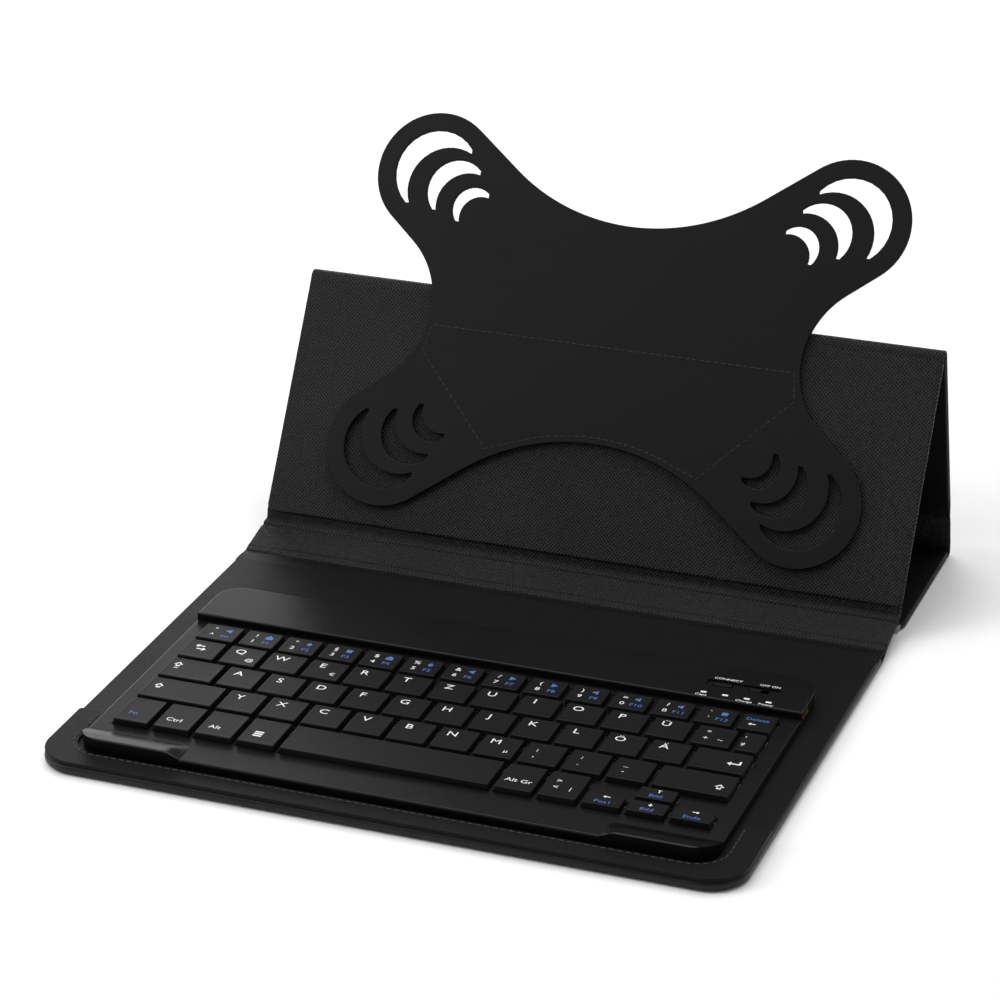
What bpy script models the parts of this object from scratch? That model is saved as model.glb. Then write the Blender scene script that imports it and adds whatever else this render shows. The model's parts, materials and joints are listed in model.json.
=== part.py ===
"""Tablet keyboard case: a folio with a thin keyboard in its base and a fold-up stand with a tablet holder.

Run with: blender --background --python part.py

Lengths below are in millimetres and turned into metres as each mesh is made. X runs along the keyboard's
long side, Y from the user towards the stand, Z up. The origin is on the table under the middle of the
object's box. The stand is shown set up as a tent: spine, display panel, leg, closure strip and flap.
"""
import math

import bmesh
import bpy
from mathutils import Matrix, Vector

MM = 0.001
GAP = 0.3                      # air between pieces that touch on the real object

# ---------------------------------------------------------------- folio, driving sizes
WIDTH = 270.0
BASE_DEPTH = 186.0
BASE_CORNER = 15.0
REAR_CORNER = 3.0
SKIN = 0.8
BASE_BOARD = 2.4
LINING = 0.6
BAND = 0.7
RIM = 1.2                      # width of the turned edge round a board
BAND_ARM_END = 40.5            # how far back the band's side arms reach
BAND_CLEARANCE = 1.6           # band edge to keyboard

PANEL = 3.0                    # display panel, leg and flap
COVER = 0.6
PANEL_BOARD = 0.9
FACING = 0.9
PANEL_CORNER = 3.0
FLAP_CORNER = 9.0
SPINE_THICKNESS = 2.0
STRIP_THICKNESS = 1.4

SPINE_LENGTH = 20.9            # hinge to hinge
DISPLAY_LENGTH = 104.0
LEG_LENGTH = 78.2
STRIP_LENGTH = 19.0
FLAP_LENGTH = 78.5
SPINE_SLOPE = 13.0             # degrees above the table
DISPLAY_SLOPE = 58.0
LEG_SLOPE = -76.0
CREASE_GAP = 0.5               # bare cloth either side of a crease
BEND_GAP = 1.8                 # bare cloth either side of a crease that folds both ways

MAGNET_SIZE = (26.0, 10.0, 0.9)
MAGNET_X = 62.0
MAGNET_FROM_EDGE = 9.0
CATCH_SIZE = (150.0, 12.0, 0.9)
BASE_CATCH_FRONT = 60.0        # the base's plate lies over the flap's magnets when the case is shut
DISPLAY_CATCH_FRONT = 4.0      # the display's plate lies just above the crease

# ---------------------------------------------------------------- tablet holder
HOLDER_THICKNESS = 1.8
HOLDER_CENTRE = 95.0           # along the display panel from its crease
EAR_X, EAR_Y, EAR_R = 88.0, 57.3, 25.5
SCOOP_Y, SCOOP_R = 133.0, 88.0
WAIST_X, WAIST_R = 115.0, 36.0
# crescent slots of one ear: chord centre x and y, half chord, outer rise, inner rise
CRESCENTS = ((86.6, 56.2, 17.6, 19.6, 10.6),
             (77.8, 51.2, 12.8, 12.6, 5.4),
             (69.6, 44.8, 8.9, 8.3, 3.3))
TIP = 1.1                      # half width of a crescent's blunt tip

# ---------------------------------------------------------------- keyboard
KB_WIDTH = 245.0
KB_FRONT = 11.5
KB_BACK = 144.5
KB_CORNER = 9.0
KB_REAR_CORNER = 11.0
KB_WALL = 1.0
DECK_THICKNESS = 1.0
DECK_RISE = 3.2                # keyboard underside to deck
BAR_RISE = 6.1
RIDGE_RISE = 5.5
BAR_FRONT = 117.3
BAR_ROOF = 1.4
RIDGE_LENGTH = 36.0
RIDGE_RAMP = 7.0
RIDGE_DEPTH = 11.0
PLATE = 0.7
MEMBRANE = 0.3
EDGE_ROUND = 0.7

KEYS_LEFT = -116.5
KEYS_RIGHT = 116.5
KEY_GAP = 1.85
KEY_RISE = 2.2                 # key top above the deck
KEY_SUNK = 0.3                 # key foot below the deck's face
KEY_TAPER = 0.35
WELL_GAP = 0.4
KEY_TRAVEL = 1.4
# row: front edge, depth, first cell width, cell pitch, number of cells of that pitch; the last cell fills up
NUMBER_ROW = (99.6, 12.6, 18.0, 16.67, 12)
TOP_ROW = (83.4, 14.5, 17.1, 17.1, 12)
HOME_ROW = (66.3, 15.3, 24.0, 16.9, 11)
LOWER_ROW = (48.9, 15.6, 32.3, 17.0, 10)
SPACE_ROW_FRONT = 28.6
SPACE_ROW_DEPTH = 18.4
SPACE_ROW_CELLS = (("fn", 16.2), ("ctrl", 16.7), ("alt", 17.0), ("menu", 17.0), ("space", 83.4),
                   ("alt_gr", 16.4), ("bracket", 16.6), ("left", 16.4), ("up_down", 16.3), ("right", 17.0))
LOWER_NAMES = ("shift_left", "y", "x", "c", "v", "b", "n", "m", "comma", "period", "hyphen", "shift_right")

RECESS = (82.0, 110.0, 127.2, 131.8)   # x from, x to, y from, y to
RECESS_DEPTH = 0.6
BUTTON_X, BUTTON_SIZE = 88.5, (7.0, 2.4)
SWITCH_X, SWITCH_SIZE = 101.0, (4.6, 2.2)
SWITCH_TRAVEL = 2.5
CONTROL_PROUD = 0.5            # above the recess floor
CONTROL_STEM = 1.8
LED_X, LED_PITCH, LED_Y, LED_SIZE = 83.3, 8.43, 121.3, (2.2, 1.1)
LED_BAR = 1.0
SOCKET_Y, SOCKET_SIZE, SOCKET_WALL, SOCKET_LENGTH = 122.7, (7.4, 2.5), 0.35, 5.0
CIRCUIT = (56.0, 118.5, 119.6, 135.0)
CIRCUIT_THICKNESS = 0.8
BATTERY = (-70.0, 46.0, 119.6, 141.0)
BATTERY_THICKNESS = 3.2
ARC_STEPS = 8


def rotate(angle, length):
    """(y, z) of a step of this length at an angle in degrees above +Y."""
    return Vector((length * math.cos(math.radians(angle)), length * math.sin(math.radians(angle))))


# ---------------------------------------------------------------- worked-out places (y, z) of the creases
BOARD_LOW = SKIN + GAP
LINING_LOW = BOARD_LOW + BASE_BOARD + GAP
LINING_TOP = LINING_LOW + LINING
KB_LOW = LINING_TOP + GAP
DECK = KB_LOW + DECK_RISE
BAR_TOP = KB_LOW + BAR_RISE
MEMBRANE_LOW = KB_LOW + PLATE + GAP
MEMBRANE_TOP = MEMBRANE_LOW + MEMBRANE

SPINE_AXIS = Vector((BASE_DEPTH + 2.2, LINING_TOP))
CREASE_AXIS = SPINE_AXIS + rotate(SPINE_SLOPE, SPINE_LENGTH)
FOLD_AXIS = CREASE_AXIS + rotate(DISPLAY_SLOPE, DISPLAY_LENGTH) + rotate(DISPLAY_SLOPE - 90, PANEL)
LEG_END_AXIS = FOLD_AXIS + rotate(LEG_SLOPE + 90, PANEL / 2) + rotate(LEG_SLOPE, LEG_LENGTH)
STRIP_SLOPE = -math.degrees(math.asin((LEG_END_AXIS.y - PANEL / 2) / STRIP_LENGTH))
FLAP_AXIS = LEG_END_AXIS + rotate(STRIP_SLOPE, STRIP_LENGTH)
FLAP_SLOPE = -180.0
HOLDER_TOP = HOLDER_CENTRE + EAR_Y + EAR_R
REAR = (CREASE_AXIS + rotate(DISPLAY_SLOPE, HOLDER_TOP) + rotate(DISPLAY_SLOPE + 90, GAP)).x
MIDDLE = REAR / 2              # distance of the frame's origin behind the base's front edge


# ---------------------------------------------------------------- scene and materials
def clear_scene():
    for old in list(bpy.data.objects):
        bpy.data.objects.remove(old, do_unlink=True)


def material(name, colour, roughness, metallic=0.0):
    made = bpy.data.materials.new(name)
    made.use_nodes = True
    shader = made.node_tree.nodes["Principled BSDF"]
    shader.inputs["Base Color"].default_value = (*colour, 1.0)
    shader.inputs["Roughness"].default_value = roughness
    shader.inputs["Metallic"].default_value = metallic
    made.diffuse_color = (*colour, 1.0)
    return made


def solid(name, mesh_builder, finish, parent=None):
    """Turn a bmesh in millimetres into a named object with its material, under an optional empty."""
    bmesh.ops.scale(mesh_builder, vec=(MM, MM, MM), verts=mesh_builder.verts)
    bmesh.ops.recalc_face_normals(mesh_builder, faces=mesh_builder.faces)
    mesh = bpy.data.meshes.new(name)
    mesh_builder.to_mesh(mesh)
    mesh_builder.free()
    made = bpy.data.objects.new(name, mesh)
    bpy.context.collection.objects.link(made)
    if finish is not None:
        mesh.materials.append(finish)
    made.parent = parent
    return made


def hinge_empty(name, place, slope, parent):
    """An empty on a crease, with its Y axis along the panel and its Z axis out of the grained face."""
    empty = bpy.data.objects.new(name, None)
    bpy.context.collection.objects.link(empty)
    world = Matrix.Translation((0, (place.x - MIDDLE) * MM, place.y * MM)) @ Matrix.Rotation(
        math.radians(slope), 4, "X")
    empty.parent = parent
    bpy.context.view_layer.update()
    empty.matrix_basis = (parent.matrix_world.inverted() @ world) if parent else world
    bpy.context.view_layer.update()
    return empty


def combine(target, tool, operation):
    """Boolean `tool` into `target` and keep the tool out of the built part."""
    step = target.modifiers.new(operation.lower() + "_" + tool.name, "BOOLEAN")
    step.operation = operation
    step.solver = "EXACT"
    step.object = tool
    tool.hide_render = True
    tool.display_type = "WIRE"
    tool.parent = target.parent


# ---------------------------------------------------------------- outlines, counter-clockwise lists of (x, y)
def arc(cx, cy, radius, start, end, steps=ARC_STEPS):
    """Points on a circle from one angle to another, in degrees."""
    angles = [math.radians(start + (end - start) * i / steps) for i in range(steps + 1)]
    return [(cx + radius * math.cos(a), cy + radius * math.sin(a)) for a in angles]


def rounded_rectangle(x0, x1, y0, y1, front=0.0, back=0.0, steps=ARC_STEPS):
    """Rectangle with one radius on the two corners at y0 and another on the two at y1."""
    corners = ((x1, y0, front, -90, -1, 1), (x1, y1, back, 0, -1, -1),
               (x0, y1, back, 90, 1, -1), (x0, y0, front, 180, 1, 1))
    points = []
    for x, y, radius, start, inward_x, inward_y in corners:
        if radius <= 0:
            points.append((x, y))
        else:
            points += arc(x + inward_x * radius, y + inward_y * radius, radius, start, start + 90, steps)
    return points


def belt(circles):
    """Outline that wraps a ring of circles (x, y, radius, side): side +1 bulges out, -1 scoops in."""
    spans = []
    for (x0, y0, r0, s0), (x1, y1, r1, s1) in zip(circles, circles[1:] + circles[:1]):
        along = Vector((x1 - x0, y1 - y0))
        tilt = math.asin((s0 * r0 - s1 * r1) / along.length)
        outward = math.atan2(along.y, along.x) - math.pi / 2 + tilt
        spans.append(outward)
    points = []
    for index, (x, y, radius, side) in enumerate(circles):
        start, end = spans[index - 1], spans[index]
        turn = (end - start) % (2 * math.pi) if side > 0 else -((start - end) % (2 * math.pi))
        if side < 0:
            start, end = start + math.pi, start + math.pi + turn
        else:
            end = start + turn
        steps = max(5, round(abs(turn) * radius / 5.0))
        points += arc(x, y, radius, math.degrees(start), math.degrees(end), steps)
    return points


def holder_outline():
    """Spider shape of the holder about its own centre: four ears, two wide scoops and a waist."""
    return belt([(EAR_X, -EAR_Y, EAR_R, 1), (WAIST_X, 0, WAIST_R, -1), (EAR_X, EAR_Y, EAR_R, 1),
                 (0, SCOOP_Y, SCOOP_R, -1), (-EAR_X, EAR_Y, EAR_R, 1), (-WAIST_X, 0, WAIST_R, -1),
                 (-EAR_X, -EAR_Y, EAR_R, 1), (0, -SCOOP_Y, SCOOP_R, -1)])


def crescent_outline(cx, cy, half_chord, outer_rise, inner_rise, steps=10):
    """Crescent with blunt tips, bulging along +X +Y at 45 degrees."""
    def bow(rise, half):
        radius = (half * half + rise * rise) / (2 * rise)
        middle = rise - radius
        reach = math.degrees(math.atan2(half, -middle))
        return [(middle + radius * math.cos(math.radians(reach * t)), radius * math.sin(math.radians(reach * t)))
                for t in [i * 2 / steps - 1 for i in range(steps + 1)]]
    outer = bow(outer_rise, half_chord)
    inner = [(x - TIP, y) for x, y in reversed(bow(inner_rise + TIP, half_chord - TIP))]
    turn = math.radians(45)
    return [(cx + x * math.cos(turn) - y * math.sin(turn), cy + x * math.sin(turn) + y * math.cos(turn))
            for x, y in outer + inner]


# ---------------------------------------------------------------- mesh makers
def loft(rings, closed_profile=True):
    """Closed solid through rings of equal length, each a list of (x, y, z)."""
    bm = bmesh.new()
    rows = [[bm.verts.new(point) for point in ring] for ring in rings]
    count = len(rows[0])
    for low, high in zip(rows, rows[1:]):
        for i in range(count if closed_profile else count - 1):
            j = (i + 1) % count
            bm.faces.new((low[i], low[j], high[j], high[i]))
    bm.faces.new(list(reversed(rows[0])))
    bm.faces.new(rows[-1])
    return bm


def prism(outline, low, high):
    return loft([[(x, y, low) for x, y in outline], [(x, y, high) for x, y in outline]])


def box(x0, x1, y0, y1, z0, z1):
    return prism(rounded_rectangle(x0, x1, y0, y1), z0, z1)


def merge(builders):
    """One bmesh holding several separate closed shapes, for use as a Boolean tool."""
    total = bmesh.new()
    for part in builders:
        scratch = bpy.data.meshes.new("scratch")
        bmesh.ops.recalc_face_normals(part, faces=part.faces)
        part.to_mesh(scratch)
        part.free()
        total.from_mesh(scratch)
        bpy.data.meshes.remove(scratch)
    return total


def plate_with_round_top(x0, x1, y0, y1, front, back, low, high, soft):
    """Rounded plate whose top edge is rolled over with radius `soft`."""
    rings = [[(x, y, low) for x, y in rounded_rectangle(x0, x1, y0, y1, front, back)]]
    for i in range(4):
        turn = math.radians(30 * i)
        inset = soft * (1 - math.cos(turn))
        height = high - soft + soft * math.sin(turn)
        outline = rounded_rectangle(x0 + inset, x1 - inset, y0 + inset, y1 - inset,
                                    max(front - inset, 0), max(back - inset, 0))
        rings.append([(x, y, height) for x, y in outline])
    return loft(rings)


def tray(name, x0, x1, y0, y1, front, back, floor, low, high, finish, parent=None):
    """Shallow tray: a floor and a rim of width RIM, open at the top."""
    shell = solid(name, prism(rounded_rectangle(x0, x1, y0, y1, front, back), low, high), finish, parent)
    inside = prism(rounded_rectangle(x0 + RIM, x1 - RIM, y0 + RIM, y1 - RIM,
                                     max(front - RIM, 0), max(back - RIM, 0)), low + floor, high + 1)
    combine(shell, solid(name + "_cutter", inside, None, parent), "DIFFERENCE")
    return shell


# ---------------------------------------------------------------- finishes
def make_finishes():
    return {
        "cover": material("cover", (0.012, 0.012, 0.013), 0.55),
        "grained": material("grained", (0.010, 0.010, 0.011), 0.5),
        "greyboard": material("greyboard", (0.24, 0.22, 0.2), 0.9),
        "holder": material("holder", (0.012, 0.012, 0.012), 0.6),
        "shell": material("shell", (0.014, 0.014, 0.015), 0.35),
        "keycap": material("keycap", (0.016, 0.016, 0.017), 0.42),
        "membrane": material("membrane", (0.35, 0.35, 0.36), 0.4),
        "circuit": material("circuit", (0.02, 0.12, 0.05), 0.5),
        "cell": material("cell", (0.55, 0.56, 0.58), 0.4, 1.0),
        "plated": material("plated", (0.75, 0.58, 0.28), 0.25, 1.0),
        "steel": material("steel", (0.5, 0.5, 0.52), 0.35, 1.0),
        "light_guide": material("light_guide", (0.8, 0.82, 0.85), 0.2),
    }


# ---------------------------------------------------------------- base
def base_y(distance):
    """Y in the frame of a point this far behind the base's front edge."""
    return distance - MIDDLE


def build_base(finish):
    left, right, front, back = -WIDTH / 2, WIDTH / 2, base_y(0), base_y(BASE_DEPTH)
    tray("base_skin", left, right, front, back, BASE_CORNER, REAR_CORNER, SKIN,
         0, LINING_LOW - GAP, finish["cover"])
    room = RIM + GAP
    board = prism(rounded_rectangle(left + room, right - room, front + room, back - room,
                                    BASE_CORNER - room, REAR_CORNER - room), BOARD_LOW, LINING_LOW - GAP)
    base_board = solid("base_board", board, finish["greyboard"])
    length, width, height = CATCH_SIZE
    pocket = box(-length / 2 - GAP, length / 2 + GAP, base_y(BASE_CATCH_FRONT) - GAP,
                 base_y(BASE_CATCH_FRONT) + width + GAP, BOARD_LOW - 1, BOARD_LOW + height + GAP)
    combine(base_board, solid("base_plate_pocket", pocket, None), "DIFFERENCE")
    solid("base_catch_plate", box(-length / 2, length / 2, base_y(BASE_CATCH_FRONT), base_y(BASE_CATCH_FRONT) + width,
                                  BOARD_LOW, BOARD_LOW + height), finish["steel"])
    lining = prism(rounded_rectangle(left, right, front, back, BASE_CORNER, REAR_CORNER),
                   LINING_LOW, LINING_TOP)
    solid("base_lining", lining, finish["cover"])
    build_front_band(left, right, front, finish)


def build_front_band(left, right, front, finish):
    """U-shaped band sewn round the keyboard's front."""
    outer = arc(left + BASE_CORNER, front + BASE_CORNER, BASE_CORNER, 180, 270)
    outer += arc(right - BASE_CORNER, front + BASE_CORNER, BASE_CORNER, 270, 360)
    inner_x = KB_WIDTH / 2 + BAND_CLEARANCE
    inner_y = base_y(KB_FRONT - BAND_CLEARANCE)
    radius = KB_CORNER + BAND_CLEARANCE
    end = base_y(BAND_ARM_END)
    inner = [(right, end), (inner_x, end)]
    inner += arc(inner_x - radius, inner_y + radius, radius, 0, -90)
    inner += arc(-inner_x + radius, inner_y + radius, radius, -90, -180)
    inner += [(-inner_x, end), (left, end)]
    solid("front_band", prism(outer + inner, KB_LOW, KB_LOW + BAND), finish["cover"])


# ---------------------------------------------------------------- keyboard
def row_cells(row):
    """Key spans (x0, x1) of a row given as front, depth, first cell, pitch, count."""
    _, _, first, pitch, count = row
    edges = [KEYS_LEFT, KEYS_LEFT + first]
    edges += [KEYS_LEFT + first + pitch * (i + 1) for i in range(count)]
    edges.append(KEYS_RIGHT)
    return [(a + KEY_GAP / 2, b - KEY_GAP / 2) for a, b in zip(edges, edges[1:])]


def space_row_keys():
    """(name, x0, x1, y0, y1) of the front row, whose arrow keys have half the depth."""
    keys, x = [], KEYS_LEFT
    low, high = SPACE_ROW_FRONT, SPACE_ROW_FRONT + SPACE_ROW_DEPTH
    half = (SPACE_ROW_DEPTH - KEY_GAP) / 2
    for name, width in SPACE_ROW_CELLS:
        span = (x + KEY_GAP / 2, x + width - KEY_GAP / 2)
        if name == "up_down":
            keys.append(("down", *span, low, low + half))
            keys.append(("up", *span, high - half, high))
        elif name in ("left", "right"):
            keys.append((name, *span, low, low + half))
        else:
            keys.append((name, *span, low, high))
        x += width
    return keys


def single_keys():
    """Every key that is a node of its own."""
    front, depth = LOWER_ROW[:2]
    lower = [(name, *span, front, front + depth) for name, span in zip(LOWER_NAMES, row_cells(LOWER_ROW))]
    return lower + space_row_keys()


def key_bank(spans, y0, y1):
    """A bar at deck level with one raised cap for each span; a bank of one is a single key."""
    bm = bmesh.new()
    low, face, top = DECK - KEY_SUNK, DECK, DECK + KEY_RISE
    edges = [x for span in spans for x in span]
    floor = [[bm.verts.new((x, y, low)) for y in (y0, y1)] for x in edges]
    rim = [[bm.verts.new((x, y, face)) for y in (y0, y1)] for x in edges]
    for i in range(len(edges) - 1):
        bm.faces.new((floor[i][0], floor[i][1], floor[i + 1][1], floor[i + 1][0]))
        for side in (0, 1):
            bm.faces.new((floor[i][side], floor[i + 1][side], rim[i + 1][side], rim[i][side]))
        if i % 2:
            bm.faces.new((rim[i][0], rim[i + 1][0], rim[i + 1][1], rim[i][1]))
    bm.faces.new((floor[0][0], rim[0][0], rim[0][1], floor[0][1]))
    bm.faces.new((floor[-1][0], floor[-1][1], rim[-1][1], rim[-1][0]))
    for i, (x0, x1) in enumerate(spans):
        ring = [rim[2 * i][0], rim[2 * i + 1][0], rim[2 * i + 1][1], rim[2 * i][1]]
        cap = [bm.verts.new((x, y, top)) for x, y in rounded_rectangle(
            x0 + KEY_TAPER, x1 - KEY_TAPER, y0 + KEY_TAPER, y1 - KEY_TAPER)]
        cap = [cap[3], cap[0], cap[1], cap[2]]
        for a in range(4):
            b = (a + 1) % 4
            bm.faces.new((ring[a], ring[b], cap[b], cap[a]))
        bm.faces.new(cap)
    return bm


def ridge(side):
    """Low lip on one front corner: crest at the front edge, falling back to the deck, ramped at its end."""
    stations = 6
    outer = KB_WIDTH / 2 + 1
    inner = KB_WIDTH / 2 - RIDGE_LENGTH
    crest = RIDGE_RISE - DECK_RISE
    rings = []
    xs = [(outer, 1.0)] + [(inner - RIDGE_RAMP * t, 0.5 + 0.5 * math.cos(math.pi * t))
                           for t in [i / stations for i in range(stations)]]
    front = base_y(KB_FRONT)
    for x, share in xs:
        rise = max(crest * share, 0.05)
        profile = [(front - 1, -1.0), (front - 1, rise - EDGE_ROUND * share), (front + EDGE_ROUND, rise),
                   (front + RIDGE_DEPTH * 0.45, rise * 0.82), (front + RIDGE_DEPTH * 0.8, rise * 0.3),
                   (front + RIDGE_DEPTH, -0.1), (front + RIDGE_DEPTH, -1.0)]
        rings.append([(side * x, y, DECK + z) for y, z in profile])
    return loft(rings)


def build_top_case(finish):
    half = KB_WIDTH / 2
    front, back = base_y(KB_FRONT), base_y(KB_BACK)
    case = solid("keyboard_top_case", plate_with_round_top(
        -half, half, front, back, KB_CORNER, KB_REAR_CORNER, KB_LOW, DECK, EDGE_ROUND), finish["shell"])
    bar = plate_with_round_top(-half, half, base_y(BAR_FRONT), back, 0, KB_REAR_CORNER,
                               KB_LOW, BAR_TOP, EDGE_ROUND)
    combine(case, solid("bar_block", bar, None), "UNION")
    combine(case, solid("ridge_blocks", merge([ridge(1), ridge(-1)]), None), "UNION")
    limit = prism(rounded_rectangle(-half, half, front, back, KB_CORNER, KB_REAR_CORNER),
                  KB_LOW - 1, BAR_TOP + 1)
    combine(case, solid("outline_limit", limit, None), "INTERSECT")
    wall = KB_WALL
    under = prism(rounded_rectangle(-half + wall, half - wall, front + wall, back - wall,
                                    KB_CORNER - wall, KB_REAR_CORNER - wall), KB_LOW - 1, DECK - DECK_THICKNESS)
    combine(case, solid("deck_hollow", under, None), "DIFFERENCE")
    bar_inside = prism(rounded_rectangle(-half + wall, half - wall, base_y(BAR_FRONT) + wall, back - wall,
                                         0, KB_REAR_CORNER - wall), KB_LOW - 1, BAR_TOP - BAR_ROOF)
    combine(case, solid("bar_hollow", bar_inside, None), "DIFFERENCE")
    combine(case, solid("key_wells", key_wells(), None), "DIFFERENCE")
    x0, x1, y0, y1 = RECESS
    recess = box(x0, x1, base_y(y0), base_y(y1), BAR_TOP - RECESS_DEPTH, BAR_TOP + 1)
    combine(case, solid("bar_recess", recess, None), "DIFFERENCE")
    combine(case, solid("bar_openings", bar_openings(), None), "DIFFERENCE")


def key_wells():
    """One long well for each joined row and one well for each single key."""
    low, high = DECK - DECK_THICKNESS - 0.5, DECK + 0.5
    wells = []
    for row in (NUMBER_ROW, TOP_ROW, HOME_ROW):
        spans = row_cells(row)
        wells.append((spans[0][0], spans[-1][1], row[0], row[0] + row[1]))
    wells += [key[1:] for key in single_keys()]
    return merge([box(x0 - WELL_GAP, x1 + WELL_GAP, base_y(y0) - WELL_GAP, base_y(y1) + WELL_GAP, low, high)
                  for x0, x1, y0, y1 in wells])


def led_places():
    return [LED_X + LED_PITCH * i for i in range(4)]


def bar_openings():
    """Holes of the two controls in the recess, four light windows and the socket's mouth."""
    middle = (RECESS[2] + RECESS[3]) / 2
    below = BAR_TOP - BAR_ROOF - 0.5
    cuts = []
    holes = [(BUTTON_X, BUTTON_SIZE, 0), (SWITCH_X, SWITCH_SIZE, SWITCH_TRAVEL)]
    for x, (length, width), travel in holes:
        cuts.append(box(x - length / 2 - GAP, x + length / 2 + travel + GAP, base_y(middle) - width / 2 - GAP,
                        base_y(middle) + width / 2 + GAP, below, BAR_TOP + 1))
    length, width = LED_SIZE
    for x in led_places():
        cuts.append(box(x - length / 2 - GAP, x + length / 2 + GAP, base_y(LED_Y) - width / 2 - GAP,
                        base_y(LED_Y) + width / 2 + GAP, below, BAR_TOP + 1))
    across, tall = SOCKET_SIZE
    low = socket_low()
    cuts.append(box(KB_WIDTH / 2 - KB_WALL - 0.5, KB_WIDTH / 2 + 1, base_y(SOCKET_Y) - across / 2 - GAP,
                    base_y(SOCKET_Y) + across / 2 + GAP, low - GAP, low + tall + GAP))
    return merge(cuts)


def socket_low():
    return MEMBRANE_LOW + CIRCUIT_THICKNESS + GAP


def build_keyboard(finish):
    build_top_case(finish)
    half = KB_WIDTH / 2 - KB_WALL - GAP
    front, back = base_y(KB_FRONT) + KB_WALL + GAP, base_y(KB_BACK) - KB_WALL - GAP
    corner, rear = KB_CORNER - KB_WALL - GAP, KB_REAR_CORNER - KB_WALL - GAP
    solid("keyboard_bottom_case", prism(rounded_rectangle(-half, half, front, back, corner, rear),
                                        KB_LOW, KB_LOW + PLATE), finish["shell"])
    solid("membrane_sheet", prism(rounded_rectangle(-half + 1, half - 1, front + 1, base_y(BAR_FRONT), corner, 0),
                                  MEMBRANE_LOW, MEMBRANE_TOP), finish["membrane"])
    x0, x1, y0, y1 = CIRCUIT
    solid("circuit_board", box(x0, x1, base_y(y0), base_y(y1), MEMBRANE_LOW, MEMBRANE_LOW + CIRCUIT_THICKNESS),
          finish["circuit"])
    x0, x1, y0, y1 = BATTERY
    solid("battery", prism(rounded_rectangle(x0, x1, base_y(y0), base_y(y1), 1.5, 1.5, 3),
                           MEMBRANE_LOW, MEMBRANE_LOW + BATTERY_THICKNESS), finish["cell"])
    build_socket(finish)
    build_controls(finish)
    build_light_guide(finish)


def build_socket(finish):
    """Charging socket: a plated tube open towards the keyboard's right side, closed at its back."""
    across, tall = SOCKET_SIZE
    y, z = base_y(SOCKET_Y), socket_low()
    end = KB_WIDTH / 2 - 0.1
    start = end - SOCKET_LENGTH
    shell = solid("usb_socket", box(start, end, y - across / 2, y + across / 2, z, z + tall), finish["plated"])
    wall = SOCKET_WALL
    mouth = box(start + wall, end + 1, y - across / 2 + wall, y + across / 2 - wall, z + wall, z + tall - wall)
    combine(shell, solid("socket_mouth", mouth, None), "DIFFERENCE")


def build_controls(finish):
    """Connect button and power switch in the recess of the rear bar."""
    floor = BAR_TOP - RECESS_DEPTH
    middle = base_y((RECESS[2] + RECESS[3]) / 2)
    for name, x, (length, width) in (("connect_button", BUTTON_X, BUTTON_SIZE),
                                     ("power_switch", SWITCH_X, SWITCH_SIZE)):
        outline = rounded_rectangle(-length / 2, length / 2, -width / 2, width / 2, 0.8, 0.8, 3)
        made = solid(name, prism(outline, -CONTROL_STEM, CONTROL_PROUD), finish["keycap"])
        made.location = (x * MM, middle * MM, floor * MM)


def build_light_guide(finish):
    """Clear bar with four posts that reach the windows of the rear bar."""
    length, width = LED_SIZE
    roof = BAR_TOP - BAR_ROOF - GAP
    y0, y1 = base_y(LED_Y) - width / 2, base_y(LED_Y) + width / 2
    bm = bmesh.new()
    xs = [x + step for x in led_places() for step in (-length / 2, length / 2)]
    low = [[bm.verts.new((x, y, roof - LED_BAR)) for y in (y0, y1)] for x in xs]
    mid = [[bm.verts.new((x, y, roof)) for y in (y0, y1)] for x in xs]
    top = [[bm.verts.new((x, y, BAR_TOP - 0.05)) for y in (y0, y1)] for x in xs]
    for i in range(len(xs) - 1):
        bm.faces.new((low[i][0], low[i][1], low[i + 1][1], low[i + 1][0]))
        for side in (0, 1):
            bm.faces.new((low[i][side], low[i + 1][side], mid[i + 1][side], mid[i][side]))
        roof_row = mid if i % 2 else top
        bm.faces.new((roof_row[i][0], roof_row[i + 1][0], roof_row[i + 1][1], roof_row[i][1]))
        if i % 2 == 0:
            for side in (0, 1):
                bm.faces.new((mid[i][side], mid[i + 1][side], top[i + 1][side], top[i][side]))
            for j in (i, i + 1):
                bm.faces.new((mid[j][0], mid[j][1], top[j][1], top[j][0]))
    for j in (0, -1):
        bm.faces.new((low[j][0], low[j][1], mid[j][1], mid[j][0]))
    solid("led_light_guide", bm, finish["light_guide"])


def build_keys(finish):
    for name, row in (("number_row_keys", NUMBER_ROW), ("top_row_keys", TOP_ROW), ("home_row_keys", HOME_ROW)):
        place_keys(name, row_cells(row), row[0], row[0] + row[1], finish)
    for name, x0, x1, y0, y1 in single_keys():
        place_keys("key_" + name, [(x0, x1)], y0, y1, finish)


def place_keys(name, spans, y0, y1, finish):
    """Keys with their object's origin at deck level in the middle of the bank."""
    centre = Vector(((spans[0][0] + spans[-1][1]) / 2, base_y((y0 + y1) / 2), DECK))
    bm = key_bank(spans, base_y(y0), base_y(y1))
    bmesh.ops.translate(bm, vec=-centre, verts=bm.verts)
    made = solid(name, bm, finish["keycap"])
    made.location = centre * MM


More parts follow.
